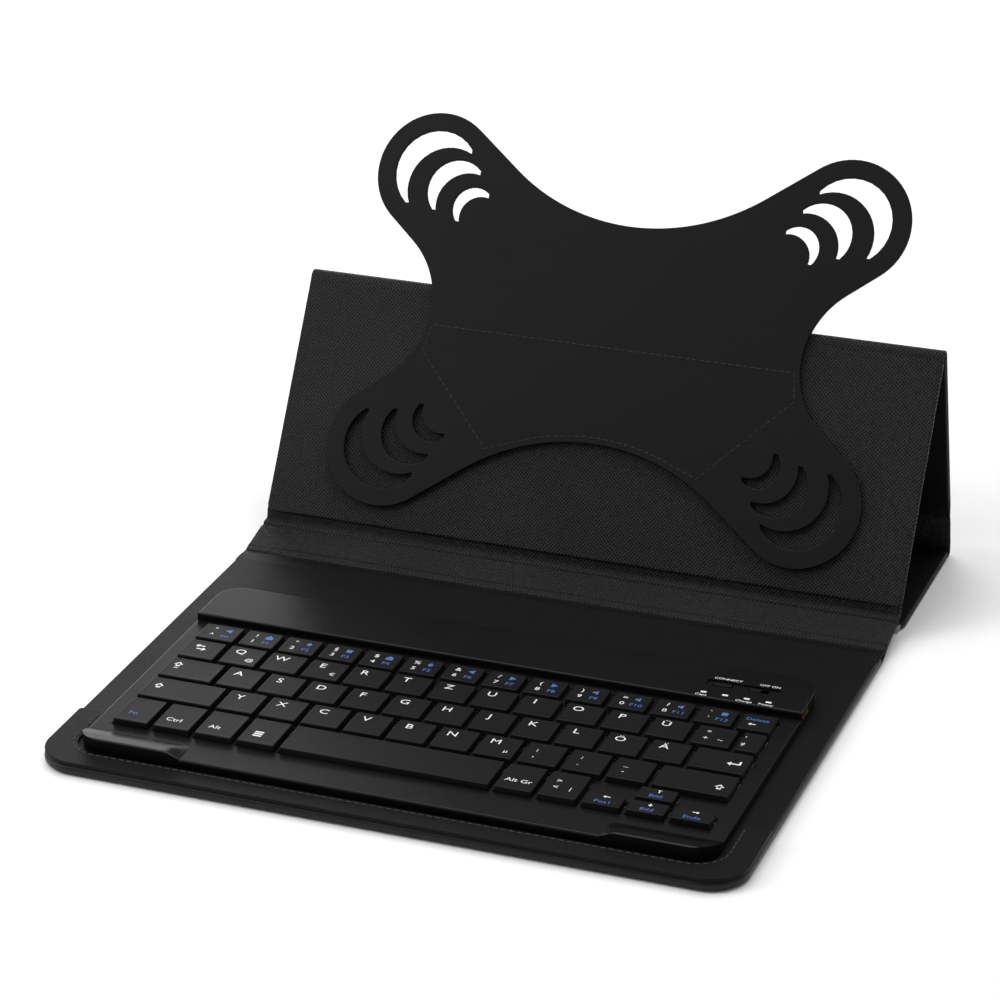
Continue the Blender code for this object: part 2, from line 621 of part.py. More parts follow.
# ---------------------------------------------------------------- folding cover
def build_panel(prefix, start, end, corner, finish, parent, centred=False):
    """Cover tray, board and grained facing between two distances from the hinge.

    The grained face is at local z = 0, or half a panel above it when the hinge runs mid-thickness.
    """
    top = PANEL / 2 if centred else 0.0
    left, right = -WIDTH / 2, WIDTH / 2
    cover_high = top - FACING - GAP
    tray(prefix + "_cover", left, right, start, end, PANEL_CORNER, corner, COVER,
         top - PANEL, cover_high, finish["cover"], parent)
    room = RIM + GAP
    board_low = top - PANEL + COVER + GAP
    core = rounded_rectangle(left + room, right - room, start + room, end - room,
                             PANEL_CORNER - room, corner - room)
    board = solid(prefix + "_board", prism(core, board_low, board_low + PANEL_BOARD),
                  finish["greyboard"], parent)
    facing = prism(rounded_rectangle(left, right, start, end, PANEL_CORNER, corner), top - FACING, top)
    solid(prefix + "_facing", facing, finish["grained"], parent)
    return board, board_low


def pocketed(board, name, spans, low, finish, parent):
    """Cut pockets through a board for flat metal pieces and put the pieces in."""
    for suffix, (x0, x1, y0, y1) in spans:
        hole = box(x0 - GAP, x1 + GAP, y0 - GAP, y1 + GAP, low - 0.5, low + PANEL_BOARD + 0.5)
        combine(board, solid(name + suffix + "_pocket", hole, None, parent), "DIFFERENCE")
        solid(name + suffix, box(x0, x1, y0, y1, low, low + PANEL_BOARD), finish["steel"], parent)


def build_stand(finish):
    spine = hinge_empty("spine_hinge_axis", SPINE_AXIS, SPINE_SLOPE, None)
    display = hinge_empty("crease_hinge_axis", CREASE_AXIS, DISPLAY_SLOPE, spine)
    leg = hinge_empty("fold_hinge_axis", FOLD_AXIS, LEG_SLOPE, display)
    strip = hinge_empty("strip_hinge_axis", LEG_END_AXIS, STRIP_SLOPE, leg)
    flap = hinge_empty("flap_hinge_axis", FLAP_AXIS, FLAP_SLOPE, strip)

    solid("spine_strip", box(-WIDTH / 2, WIDTH / 2, CREASE_GAP, SPINE_LENGTH - CREASE_GAP,
                             -SPINE_THICKNESS, 0), finish["grained"], spine)

    board, low = build_panel("display", CREASE_GAP, DISPLAY_LENGTH - CREASE_GAP, PANEL_CORNER, finish, display)
    length, width, _ = CATCH_SIZE
    pocketed(board, "display_catch_plate", [("", (-length / 2, length / 2, DISPLAY_CATCH_FRONT,
                                                     DISPLAY_CATCH_FRONT + width))],
             low, finish, display)
    build_holder(finish, display)

    leg_frame = bpy.data.objects.new("leg_plane", None)
    bpy.context.collection.objects.link(leg_frame)
    leg_frame.parent = leg
    leg_frame.location = (0, 0, PANEL * MM)
    bpy.context.view_layer.update()
    build_panel("leg", CREASE_GAP, LEG_LENGTH - BEND_GAP, PANEL_CORNER, finish, leg_frame)

    solid("closure_strip", box(-WIDTH / 2, WIDTH / 2, BEND_GAP, STRIP_LENGTH - BEND_GAP,
                               -STRIP_THICKNESS / 2, STRIP_THICKNESS / 2), finish["grained"], strip)

    board, low = build_panel("flap", BEND_GAP, FLAP_LENGTH, FLAP_CORNER, finish, flap, centred=True)
    length, width, _ = MAGNET_SIZE
    edge = FLAP_LENGTH - MAGNET_FROM_EDGE
    spans = [("_" + side, (sign * MAGNET_X - length / 2, sign * MAGNET_X + length / 2, edge - width, edge))
             for side, sign in (("left", -1), ("right", 1))]
    pocketed(board, "flap_magnet", spans, low, finish, flap)


def build_holder(finish, parent):
    """Stretchy sheet sewn to the display panel, with three crescent slots in each ear."""
    def placed(outline, sign_x=1, sign_y=1):
        moved = [(sign_x * x, HOLDER_CENTRE + sign_y * y) for x, y in outline]
        return moved if sign_x * sign_y > 0 else moved[::-1]

    low, high = GAP, GAP + HOLDER_THICKNESS
    holder = solid("tablet_holder", prism(placed(holder_outline()), low, high), finish["holder"], parent)
    slots = [prism(placed(crescent_outline(*crescent), sx, sy), low - 1, high + 1)
             for crescent in CRESCENTS for sx in (1, -1) for sy in (1, -1)]
    combine(holder, solid("holder_slots", merge(slots), None, parent), "DIFFERENCE")


def main():
    clear_scene()
    finish = make_finishes()
    build_base(finish)
    build_keyboard(finish)
    build_keys(finish)
    build_stand(finish)
    print("origin is", round(MIDDLE, 3), "mm behind the front edge; creases (y, z):",
          [(round(p.x - MIDDLE, 3), round(p.y, 3)) for p in
           (SPINE_AXIS, CREASE_AXIS, FOLD_AXIS, LEG_END_AXIS, FLAP_AXIS)], "strip slope", round(STRIP_SLOPE, 3))


main()
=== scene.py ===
"""Looks of a folding tablet case with a thin keyboard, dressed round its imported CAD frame.

Lengths are millimetres everywhere except where a name says metres. Each folding panel is built in its
own plane: x along the crease, s away from the crease and n out of the panel's grained face.
"""
from __future__ import annotations

import json
import logging
import math
from dataclasses import dataclass, field
from enum import Enum
from typing import Iterable, Sequence

import bmesh
import bpy
from mathutils import Matrix, Vector


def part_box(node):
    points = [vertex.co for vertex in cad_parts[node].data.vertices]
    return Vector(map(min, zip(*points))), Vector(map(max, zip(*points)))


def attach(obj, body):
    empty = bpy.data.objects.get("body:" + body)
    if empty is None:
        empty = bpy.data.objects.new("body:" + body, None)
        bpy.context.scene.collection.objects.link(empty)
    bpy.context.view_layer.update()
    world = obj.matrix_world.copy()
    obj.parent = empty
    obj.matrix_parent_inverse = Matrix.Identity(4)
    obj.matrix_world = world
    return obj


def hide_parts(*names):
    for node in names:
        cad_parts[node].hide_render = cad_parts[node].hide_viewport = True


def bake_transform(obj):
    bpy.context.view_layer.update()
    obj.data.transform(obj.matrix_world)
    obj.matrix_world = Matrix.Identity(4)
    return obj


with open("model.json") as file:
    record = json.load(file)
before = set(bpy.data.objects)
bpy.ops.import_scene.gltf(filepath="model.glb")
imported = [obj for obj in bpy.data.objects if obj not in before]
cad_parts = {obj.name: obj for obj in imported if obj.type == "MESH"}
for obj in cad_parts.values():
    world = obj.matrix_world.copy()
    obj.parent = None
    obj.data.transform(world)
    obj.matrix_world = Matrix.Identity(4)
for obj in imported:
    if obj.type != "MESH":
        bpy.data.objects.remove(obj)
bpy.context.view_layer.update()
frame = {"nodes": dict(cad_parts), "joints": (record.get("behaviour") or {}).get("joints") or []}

MM = 0.001
LOG = logging.getLogger("tablet_case")
Point = tuple[float, float]
Outline = list[Point]


# ---------------------------------------------------------------- where things are
@dataclass(frozen=True)
class PanelPlane:
    """Plane of one folding panel, seen from the side, in millimetres and degrees."""

    y: float
    z: float
    slope: float

    def matrix(self) -> Matrix:
        """Places (x, s, n) of the panel in the case, still in millimetres."""
        cos, sin = math.cos(math.radians(self.slope)), math.sin(math.radians(self.slope))
        return Matrix(((1, 0, 0, 0), (0, cos, -sin, self.y), (0, sin, cos, self.z), (0, 0, 0, 1)))

    def point(self, s: float, n: float) -> Point:
        """Height and depth (y, z) of a point of the panel."""
        place = self.matrix() @ Vector((0, s, n))
        return place.y, place.z

    def run(self, start: float, *spots: Point) -> tuple[Point, ...]:
        """Points (y, z) of spots (s, n) whose s is counted from a distance along the panel."""
        return tuple(self.point(start + s, n) for s, n in spots)

    def metres(self, s: float, n: float = 0.0) -> tuple[float, float, float]:
        y, z = self.point(s, n)
        return 0.0, y * MM, z * MM

    def moved(self, s: float = 0.0, n: float = 0.0) -> PanelPlane:
        """A parallel plane whose origin is moved within this one."""
        return PanelPlane(*self.point(s, n), self.slope)


GROUND = PanelPlane(0.0, 0.0, 0.0)


@dataclass(frozen=True)
class CaseLayout:
    """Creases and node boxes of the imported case."""

    panel: float = 3.0

    def crease(self, joint: str) -> Vector:
        """Place (y, z) of a crease, by its joint's name."""
        place = next(j["pos_m"] for j in frame["joints"] if j["name"] == joint)
        return Vector((place[1], place[2])) / MM

    def box(self, node: str) -> tuple[Vector, Vector]:
        """Lowest and highest corner of a CAD node, in millimetres."""
        low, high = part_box(node)
        return low / MM, high / MM

    def between(self, near: str, far: str, offset: float) -> tuple[PanelPlane, float]:
        """Plane and length of the panel between two creases.

        Args:
            near: the joint at the panel's start.
            far: the joint at its end.
            offset: how far the far crease lies under the near one's plane.

        Returns:
            The plane, and the panel's length in it.
        """
        start, end = self.crease(near), self.crease(far)
        along = end - start
        length = math.sqrt(along.length_squared - offset * offset)
        slope = math.degrees(math.atan2(along.y, along.x) + math.atan2(offset, length))
        return PanelPlane(start.x, start.y, slope), length

    def spine(self) -> tuple[PanelPlane, float]:
        """Spine strip, whose grained face holds both of its creases."""
        return self.between("spine_hinge", "crease_hinge", 0.0)

    def display(self) -> tuple[PanelPlane, float]:
        """Display panel: its top crease lies on the smooth side."""
        return self.between("crease_hinge", "fold_hinge", self.panel)

    def leg(self) -> tuple[PanelPlane, float]:
        """Rear leg, with its plane on the grained face."""
        plane, length = self.between("fold_hinge", "strip_hinge", -self.panel / 2)
        return plane.moved(n=self.panel), length

    def closure(self) -> tuple[PanelPlane, float]:
        """Closure strip, whose creases run in mid thickness."""
        return self.between("strip_hinge", "flap_hinge", 0.0)

    def flap(self) -> tuple[PanelPlane, float]:
        """Closure flap, flat on the table with its grained face down."""
        hinge, near_corner = self.crease("flap_hinge"), self.box("flap_facing")[0]
        return PanelPlane(hinge.x, hinge.y, 180.0), hinge.x - near_corner.y


# ---------------------------------------------------------------- outlines and meshes
def arc(cx: float, cy: float, radius: float, start: float, end: float, steps: int = 10) -> Outline:
    """Points on a circle from one angle to another, in degrees."""
    angles = [math.radians(start + (end - start) * i / steps) for i in range(steps + 1)]
    return [(cx + radius * math.cos(a), cy + radius * math.sin(a)) for a in angles]


def rounded_rectangle(x0: float, x1: float, y0: float, y1: float, front: float, back: float,
                      steps: int = 10) -> Outline:
    """Counter-clockwise rectangle with one radius at y0 and another at y1.

    Args:
        x0: left side.
        x1: right side.
        y0: near side.
        y1: far side.
        front: corner radius at y0.
        back: corner radius at y1.
        steps: steps round each corner.

    Returns:
        The outline's points.
    """
    corners = ((x1, y0, front, -90, -1, 1), (x1, y1, back, 0, -1, -1),
               (x0, y1, back, 90, 1, -1), (x0, y0, front, 180, 1, 1))
    points: Outline = []
    for x, y, radius, start, inward_x, inward_y in corners:
        points += arc(x + inward_x * radius, y + inward_y * radius, radius, start, start + 90, steps)
    return points


def inset(outline: Outline, distance: float) -> Outline:
    """Moves a counter-clockwise outline inwards by a distance, corner by corner.

    Args:
        outline: the outline.
        distance: how far inwards.

    Returns:
        The moved outline, with as many points.
    """
    if not distance:
        return list(outline)
    moved: Outline = []
    count = len(outline)
    sharpest = 0.35            # keeps a sharp corner from running away
    for i, (x, y) in enumerate(outline):
        before, after = outline[i - 1], outline[(i + 1) % count]
        first = Vector((x - before[0], y - before[1])).normalized()
        second = Vector((after[0] - x, after[1] - y)).normalized()
        left = Vector((-first.y - second.y, first.x + second.x))
        left = left.normalized() if left.length > 1e-6 else Vector((-first.y, first.x))
        share = max(sharpest, left.dot(Vector((-first.y, first.x))))
        moved.append((x + left.x * distance / share, y + left.y * distance / share))
    return moved


def loft(bm: bmesh.types.BMesh, rings: Sequence[Sequence[Sequence[float]]], material: int = 0) -> None:
    """Skins a stack of rings with the same number of points and closes both ends.

    Args:
        bm: where the skin is added.
        rings: the rings' points, from one end to the other.
        material: index of its finish.
    """
    stack = [[bm.verts.new(p) for p in ring] for ring in rings]
    made = []
    for low, high in zip(stack, stack[1:]):
        for i in range(len(low)):
            j = (i + 1) % len(low)
            made.append(bm.faces.new((low[i], low[j], high[j], high[i])))
    made += [bm.faces.new(stack[0][::-1]), bm.faces.new(stack[-1])]
    for face in made:
        face.material_index = material


def rim_profile(low: float, high: float, under: float, over: float, flat: float = 0.45,
                steps: int = 5) -> list[Point]:
    """Steps up a slab's side, with one radius below and one above.

    Args:
        low: height of the underside.
        high: height of the top.
        under: radius of the lower rim.
        over: radius of the upper rim.
        flat: width of the level edge beside each rim.
        steps: steps round each rim.

    Returns:
        Pairs of inset and height.
    """
    pairs = [(under + flat, low)]
    pairs += [(under - y, low + under + z) for y, z in arc(0, 0, under, -90, 0, steps)]
    pairs += [(over - y, high - over + z) for y, z in arc(0, 0, over, 0, 90, steps)]
    pairs.append((over + flat, high))
    return pairs


def soft_slab(bm: bmesh.types.BMesh, outline: Outline, low: float, high: float, under: float, over: float,
              flat: float = 0.45, material: int = 0) -> None:
    """Adds a flat piece whose rims are rounded, as leatherette turned over a board's edge.

    Args:
        bm: where the piece is added.
        outline: its outline, whose corners are rounder than the rims.
        low: height of its underside.
        high: height of its top.
        under: radius of the lower rim.
        over: radius of the upper rim.
        flat: width of the level edge beside each rim, which keeps the shading of the faces even.
        material: index of its finish.
    """
    rings = [[(x, y, height) for x, y in inset(outline, step)]
             for step, height in rim_profile(low, high, under, over, flat)]
    loft(bm, rings, material)


def area_of(outline: Outline) -> float:
    """Area inside an outline."""
    pairs = zip(outline, outline[1:] + outline[:1])
    return abs(sum(a[0] * b[1] - b[0] * a[1] for a, b in pairs)) / 2


@dataclass(kw_only=True)
class Assembly:
    """One sub-assembly: makes its pieces, puts them on their bodies and counts them."""

    layout: CaseLayout
    pieces: list[bpy.types.Object] = field(default_factory=list)

    def piece(self, name: str, bm: bmesh.types.BMesh, plane: PanelPlane, finishes: Sequence[Finish],
              smooth: float = 42.0, mapped: bool = False) -> bpy.types.Object:
        """Turns panel coordinates into a finished object in the case.

        Args:
            name: the object's name.
            bm: the mesh in (x, s, n), in millimetres.
            plane: the panel that it belongs to.
            finishes: one finish for each material index used.
            smooth: edges sharper than this, in degrees, stay hard.
            mapped: whether the mesh brings its own map in millimetres.

        Returns:
            The object, in metres, with a map in millimetres that its patterns follow.
        """
        bmesh.ops.recalc_face_normals(bm, faces=bm.faces)
        if not mapped:
            pattern = bm.loops.layers.uv.active or bm.loops.layers.uv.new("pattern")
            for face in bm.faces:
                for loop in face.loops:
                    x, s, n = loop.vert.co
                    loop[pattern].uv = (x - n * (1 if x > 0 else -1), s - n)
        bm.transform(Matrix.Scale(MM, 4) @ plane.matrix())
        mesh = bpy.data.meshes.new(name)
        bm.to_mesh(mesh)
        bm.free()
        mesh.shade_smooth()
        mesh.set_sharp_from_angle(angle=math.radians(smooth))
        for finish in finishes:
            mesh.materials.append(finish.material())
        made = bpy.data.objects.new(name, mesh)
        bpy.context.scene.collection.objects.link(made)
        self.pieces.append(made)
        return made

    def settle(self, made: bpy.types.Object, body: str, slot: str, *nodes: str) -> bpy.types.Object:
        """Rides a piece on a body, in place of CAD nodes.

        Args:
            made: the piece.
            body: the body that it moves with.
            slot: not used.
            *nodes: the CAD nodes that it stands for.

        Returns:
            The piece.
        """
        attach(made, body)
        if nodes:
            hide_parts(*nodes)
        return made

    def dress(self, node: str, finish: Finish) -> None:
        """Gives a CAD node that stays in view or inside the case its finish.

        Args:
            node: the CAD node.
            finish: what it is made of.
        """
        mesh = frame["nodes"][node].data
        mesh.materials.clear()
        mesh.materials.append(finish.material())

    def report(self) -> None:
        """Says what was made."""
        for made in self.pieces:
            LOG.info("%s: %s, %d faces", type(self).__name__, made.name, len(made.data.polygons))


# ---------------------------------------------------------------- finishes
class Coordinates(Enum):
    """Where a pattern takes its coordinates from."""

    MAP = "UV"
    SOLID = "Object"


Socket = bpy.types.NodeSocket
WAVE_PERIOD = 2 * math.pi / 20   # scale at which a wave texture repeats every unit
NOISE_RANGE = (0.3, 0.7)         # where nearly all of a noise's values lie
Colour = tuple[float, float, float]


class NodeGraph:
    """Builds one material's nodes with short calls."""
    # Makes one strip of cloth along its path.

    def __init__(self, name: str) -> None:
        """Starts a material that holds a principled shader and its output.

        Args:
            name: the material's name.
        """
        self.result = bpy.data.materials.new(name)
        self.result.use_nodes = True
        self.tree = self.result.node_tree
        self.tree.nodes.clear()
        self.shader = self.tree.nodes.new("ShaderNodeBsdfPrincipled")
        output = self.tree.nodes.new("ShaderNodeOutputMaterial")
        self.tree.links.new(self.shader.outputs["BSDF"], output.inputs["Surface"])

    def node(self, kind: str, **settings: object) -> bpy.types.Node:
        """Adds a node and sets its properties.

        Args:
            kind: name of the node's type.
            **settings: the properties.

        Returns:
            The node.
        """
        made = self.tree.nodes.new(kind)
        for key, value in settings.items():
            setattr(made, key, value)
        return made

    def feed(self, socket: Socket, value: Socket | float | Sequence[float]) -> None:
        """Links a socket, or sets its value.

        Args:
            socket: the input.
            value: what goes in.
        """
        if isinstance(value, bpy.types.NodeSocket):
            self.tree.links.new(value, socket)
        else:
            socket.default_value = value

    def place(self, source: Coordinates, turn: float = 0.0, stretch: Sequence[float] = (1, 1, 1)) -> Socket:
        """Coordinates in millimetres.

        Args:
            source: the piece's own map, or its solid coordinates.
            turn: rotation about the surface's normal, in degrees.
            stretch: scale along each axis after the turn.

        Returns:
            The vector socket.
        """
        origin = self.node("ShaderNodeTexCoord").outputs[source.value]
        factor = 1.0 if source is Coordinates.MAP else 1 / MM
        turned = self.node("ShaderNodeMapping")
        self.feed(turned.inputs["Vector"], origin)
        turned.inputs["Rotation"].default_value = (0, 0, math.radians(turn))
        turned.inputs["Scale"].default_value = [factor * k for k in stretch]
        return turned.outputs["Vector"]

    def noise(self, vector: Socket, grain: float, detail: float = 2.0, rough: float = 0.5) -> Socket:
        """Noise whose blotches are about that many millimetres across.

        Args:
            vector: coordinates in millimetres.
            grain: the blotches' size.
            detail: how many finer layers it has.
            rough: how strong they are.

        Returns:
            The noise, from 0 to 1.
        """
        made = self.node("ShaderNodeTexNoise")
        self.feed(made.inputs["Vector"], vector)
        self.feed(made.inputs["Scale"], 1 / grain)
        self.feed(made.inputs["Detail"], detail)
        self.feed(made.inputs["Roughness"], rough)
        return made.outputs["Fac"]

    def cells(self, vector: Socket, grain: float) -> Socket:
        """Pebbles about that many millimetres across.

        Args:
            vector: coordinates in millimetres.
            grain: the pebbles' size.

        Returns:
            Distance from each pebble's edge.
        """
        made = self.node("ShaderNodeTexVoronoi", feature="DISTANCE_TO_EDGE")
        self.feed(made.inputs["Vector"], vector)
        self.feed(made.inputs["Scale"], 1 / grain)
        return made.outputs["Distance"]

    def ridges(self, vector: Socket, pitch: float, wobble: float) -> Socket:
        """Parallel ridges across x, that many millimetres apart.

        Args:
            vector: coordinates in millimetres.
            pitch: from crest to crest.
            wobble: how much they wander.

        Returns:
            Height, from 0 to 1.
        """
        made = self.node("ShaderNodeTexWave", wave_type="BANDS", bands_direction="X", wave_profile="SIN")
        self.feed(made.inputs["Vector"], vector)
        self.feed(made.inputs["Scale"], WAVE_PERIOD / pitch)
        self.feed(made.inputs["Distortion"], wobble)
        self.feed(made.inputs["Detail"], 1.0)
        self.feed(made.inputs["Detail Scale"], 0.6)
        return made.outputs["Fac"]

    def reckon(self, operation: str, first: Socket | float, second: Socket | float) -> Socket:
        """One step of arithmetic.

        Args:
            operation: name of the operation.
            first: one number.
            second: the other.

        Returns:
            The result.
        """
        made = self.node("ShaderNodeMath", operation=operation)
        self.feed(made.inputs[0], first)
        self.feed(made.inputs[1], second)
        return made.outputs[0]

    def plus(self, first: Socket | float, second: Socket | float) -> Socket:
        """Two values added."""
        return self.reckon("ADD", first, second)

    def times(self, first: Socket | float, second: Socket | float) -> Socket:
        """Two values multiplied."""
        return self.reckon("MULTIPLY", first, second)

    def swing(self, noise: Socket, to_low: float, to_high: float) -> Socket:
        """Maps a noise from the range that it keeps to another range."""
        return self.span(noise, *NOISE_RANGE, to_low, to_high)

    def span(self, value: Socket, low: float, high: float, to_low: float, to_high: float) -> Socket:
        """Maps one range of values to another, clamped.

        Args:
            value: what is mapped.
            low: start of its range.
            high: end of its range.
            to_low: what low becomes.
            to_high: what high becomes.

        Returns:
            The mapped value.
        """
        made = self.node("ShaderNodeMapRange")
        limits = {"From Min": low, "From Max": high, "To Min": to_low, "To Max": to_high}
        for name, limit in limits.items():
            self.feed(made.inputs[name], limit)
        self.feed(made.inputs["Value"], value)
        return made.outputs["Result"]

    def blend(self, share: Socket | float, first: Colour | Socket, second: Colour | Socket) -> Socket:
        """Mixes two colours.

        Args:
            share: how much of the second.
            first: one colour.
            second: the other.

        Returns:
            The mixed colour.
        """
        made = self.node("ShaderNodeMix", data_type="RGBA")
        self.feed(made.inputs[0], share)
        for socket, value in ((made.inputs[6], first), (made.inputs[7], second)):
            self.feed(socket, (*value, 1.0) if isinstance(value, tuple) else value)
        return made.outputs[2]

    def emboss(self, height: Socket, depth: float) -> Socket:
        """Bumps the surface by a height from 0 to 1 that stands for so many millimetres.

        Args:
            height: the relief.
            depth: what a height of 1 stands for.

        Returns:
            The normal.
        """
        made = self.node("ShaderNodeBump")
        self.feed(made.inputs["Height"], height)
        self.feed(made.inputs["Strength"], 1.0)
        self.feed(made.inputs["Distance"], depth * MM)
        return made.outputs["Normal"]

    def finish(self, colour: Socket, roughness: Socket | float, normal: Socket | None = None,
               **constants: float) -> bpy.types.Material:
        """Sets the shader.

        Args:
            colour: its base colour.
            roughness: its roughness.
            normal: its relief, if it has one.
            **constants: other shader values that are the same all over, with _ for each space.

        Returns:
            The finished material.
        """
        self.feed(self.shader.inputs["Base Color"], colour)
        self.feed(self.shader.inputs["Roughness"], roughness)
        if normal is not None:
            self.feed(self.shader.inputs["Normal"], normal)
        for key, value in constants.items():
            self.shader.inputs[key.replace("_", " ")].default_value = value
        return self.result


@dataclass(frozen=True)
class Finish:
    """What every finish has: a name and a base colour, made into a material once."""

    name: str
    colour: Colour

    def material(self) -> bpy.types.Material:
        """The finish's material, built on first use."""
        found = bpy.data.materials.get(self.name)
        return found or self.weave(NodeGraph(self.name))

    def weave(self, graph: NodeGraph) -> bpy.types.Material:
        """Builds the nodes; each finish has its own."""
        raise NotImplementedError

    def tinted(self, graph: NodeGraph, share: Socket, amount: float) -> Socket:
        """The colour, darker and lighter by an amount.

        Args:
            graph: the material's nodes.
            share: from 0, darkest, to 1, lightest.
            amount: how far it goes each way.

        Returns:
            The varied colour.
        """
        dark = tuple(c * (1 - amount) for c in self.colour)
        light = tuple(c * (1 + amount) for c in self.colour)
        return graph.blend(share, dark, light)


@dataclass(frozen=True)
class CrossGrain(Finish):
    """Leatherette embossed with two crossing sets of fine slanting ridges."""

    pitch: float = 1.12
    depth: float = 0.50

    def weave(self, graph: NodeGraph) -> bpy.types.Material:
        """Crossing ridges over a soft noise; the crests are smoother, and their lighter colour is a painted
        highlight, with painted shade in the valleys.

        Args:
            graph: the material's nodes.

        Returns:
            The material.
        """
        flat = graph.place(Coordinates.MAP)
        rising = graph.ridges(graph.place(Coordinates.MAP, 40), self.pitch, 1.3)
        falling = graph.ridges(graph.place(Coordinates.MAP, -47), self.pitch * 0.94, 1.3)
        broken = graph.noise(flat, 2.2, 2.0)
        rising = graph.times(rising, graph.span(broken, 0.35, 0.6, 0.45, 1.0))
        height = graph.reckon("MAXIMUM", rising, graph.times(falling, 0.85))
        fine = graph.noise(flat, 0.25, 2.0)
        height = graph.plus(height, graph.times(fine, 0.25))
        worn = graph.noise(flat, 38.0, 3.0)
        crest = graph.span(height, 0.45, 1.0, 0.0, 1.0)
        # the crest share paints the crests lighter and the valleys darker: a painted highlight and painted
        # shade, varied by the worn tone
        colour = self.tinted(graph, graph.times(crest, graph.swing(worn, 0.6, 1.0)), 0.95)
        roughness = graph.plus(graph.span(crest, 0, 1, 0.56, 0.36), graph.swing(worn, -0.04, 0.04))
        return graph.finish(colour, roughness, graph.emboss(height, self.depth), Specular_IOR_Level=0.2)


@dataclass(frozen=True)
class SmoothLeather(Finish):
    """Smooth leatherette with a pebble grain that is only just seen."""

    grain: float = 0.55
    roughness: float = 0.46
    shine: float = 0.12

    def weave(self, graph: NodeGraph) -> bpy.types.Material:
        """Small pebbles, finer pores and slow changes of sheen.

        Args:
            graph: the material's nodes.

        Returns:
            The material.
        """
        flat = graph.place(Coordinates.MAP)
        pebble = graph.span(graph.cells(flat, self.grain), 0.0, 0.35, 0.0, 1.0)
        pores = graph.noise(flat, 0.18, 2.0)
        height = graph.plus(graph.times(pebble, 0.7), graph.times(pores, 0.3))
        worn = graph.noise(flat, 30.0, 3.0)
        colour = self.tinted(graph, graph.times(pebble, graph.swing(worn, 0.5, 1.0)), 0.22)
        roughness = graph.plus(graph.span(pebble, 0, 1, self.roughness + 0.08, self.roughness - 0.03),
                              graph.swing(worn, -0.04, 0.04))
        return graph.finish(colour, roughness, graph.emboss(height, 0.07), Specular_IOR_Level=self.shine)


@dataclass(frozen=True)
class Moulded(Finish):
    """Moulded plastic with a spark-eroded texture."""

    roughness: float = 0.45
    depth: float = 0.012
    shine: float = 0.17

    def weave(self, graph: NodeGraph) -> bpy.types.Material:
        """Very fine stipple, with slow changes of gloss where it is handled.

        Args:
            graph: the material's nodes.

        Returns:
            The material.
        """
        solid = graph.place(Coordinates.SOLID)
        stipple = graph.noise(solid, 0.16, 2.0, 0.6)
        handled = graph.noise(solid, 24.0, 3.0)
        colour = self.tinted(graph, graph.times(stipple, graph.swing(handled, 0.7, 1.0)), 0.14)
        roughness = graph.plus(graph.swing(stipple, self.roughness + 0.04, self.roughness - 0.04),
                              graph.swing(handled, -0.03, 0.03))
        return graph.finish(colour, roughness, graph.emboss(stipple, self.depth),
                            Specular_IOR_Level=self.shine)


@dataclass(frozen=True)
class StretchRubber(Finish):
    """Matte, slightly soft sheet with a skin of fine dust-like grain."""

    def weave(self, graph: NodeGraph) -> bpy.types.Material:
        """Matte skin: fine grain, faint streaks of the stretch, low sheen.

        Args:
            graph: the material's nodes.

        Returns:
            The material.
        """
        flat = graph.place(Coordinates.MAP)
        grain = graph.noise(flat, 0.22, 3.0, 0.65)
        streak = graph.noise(graph.place(Coordinates.MAP, 0, (0.25, 1.0, 1.0)), 3.5, 2.0)
        worn = graph.noise(flat, 34.0, 3.0)
        share = graph.plus(graph.times(grain, 0.5), graph.times(worn, 0.5))
        colour = self.tinted(graph, share, 0.16)
        roughness = graph.plus(graph.swing(streak, 0.50, 0.58), graph.swing(worn, -0.04, 0.04))
        return graph.finish(colour, roughness, graph.emboss(grain, 0.02), Specular_IOR_Level=0.16)


@dataclass(frozen=True)
class Twine(Finish):
    """Sewing thread with a two-ply twist."""

    def weave(self, graph: NodeGraph) -> bpy.types.Material:
        """Slanting plies and a fuzzy sheen.

        Args:
            graph: the material's nodes.

        Returns:
            The material.
        """
        ply = graph.ridges(graph.place(Coordinates.SOLID, 50), 0.32, 0.4)
        fuzz = graph.noise(graph.place(Coordinates.SOLID), 0.12, 2.0)
        height = graph.plus(graph.times(ply, 0.8), graph.times(fuzz, 0.2))
        return graph.finish(self.tinted(graph, height, 0.3), graph.swing(fuzz, 0.55, 0.7),
                            graph.emboss(height, 0.05), Sheen_Weight=0.3, Sheen_Roughness=0.4)


@dataclass(frozen=True)
class PrintedInk(Finish):
    """Pad-printed ink, a touch uneven."""

    def weave(self, graph: NodeGraph) -> bpy.types.Material:
        """Ink that thins a little in places.

        Args:
            graph: the material's nodes.

        Returns:
            The material.
        """
        solid = graph.place(Coordinates.SOLID)
        thin = graph.noise(solid, 0.5, 3.0)
        return graph.finish(self.tinted(graph, thin, 0.1), graph.swing(thin, 0.4, 0.55),
                            graph.emboss(graph.noise(solid, 0.15), 0.006))


@dataclass(frozen=True)
class SheetMetal(Finish):
    """Rolled steel or plated strip."""

    roughness: float = 0.3

    def weave(self, graph: NodeGraph) -> bpy.types.Material:
        """Fine rolling lines.

        Args:
            graph: the material's nodes.

        Returns:
            The material.
        """
        lines = graph.noise(graph.place(Coordinates.SOLID, 0, (0.05, 1.0, 1.0)), 0.3, 3.0)
        spread = graph.swing(lines, self.roughness - 0.06, self.roughness + 0.08)
        return graph.finish(self.tinted(graph, lines, 0.08), spread, graph.emboss(lines, 0.01),
                            Metallic=1.0)


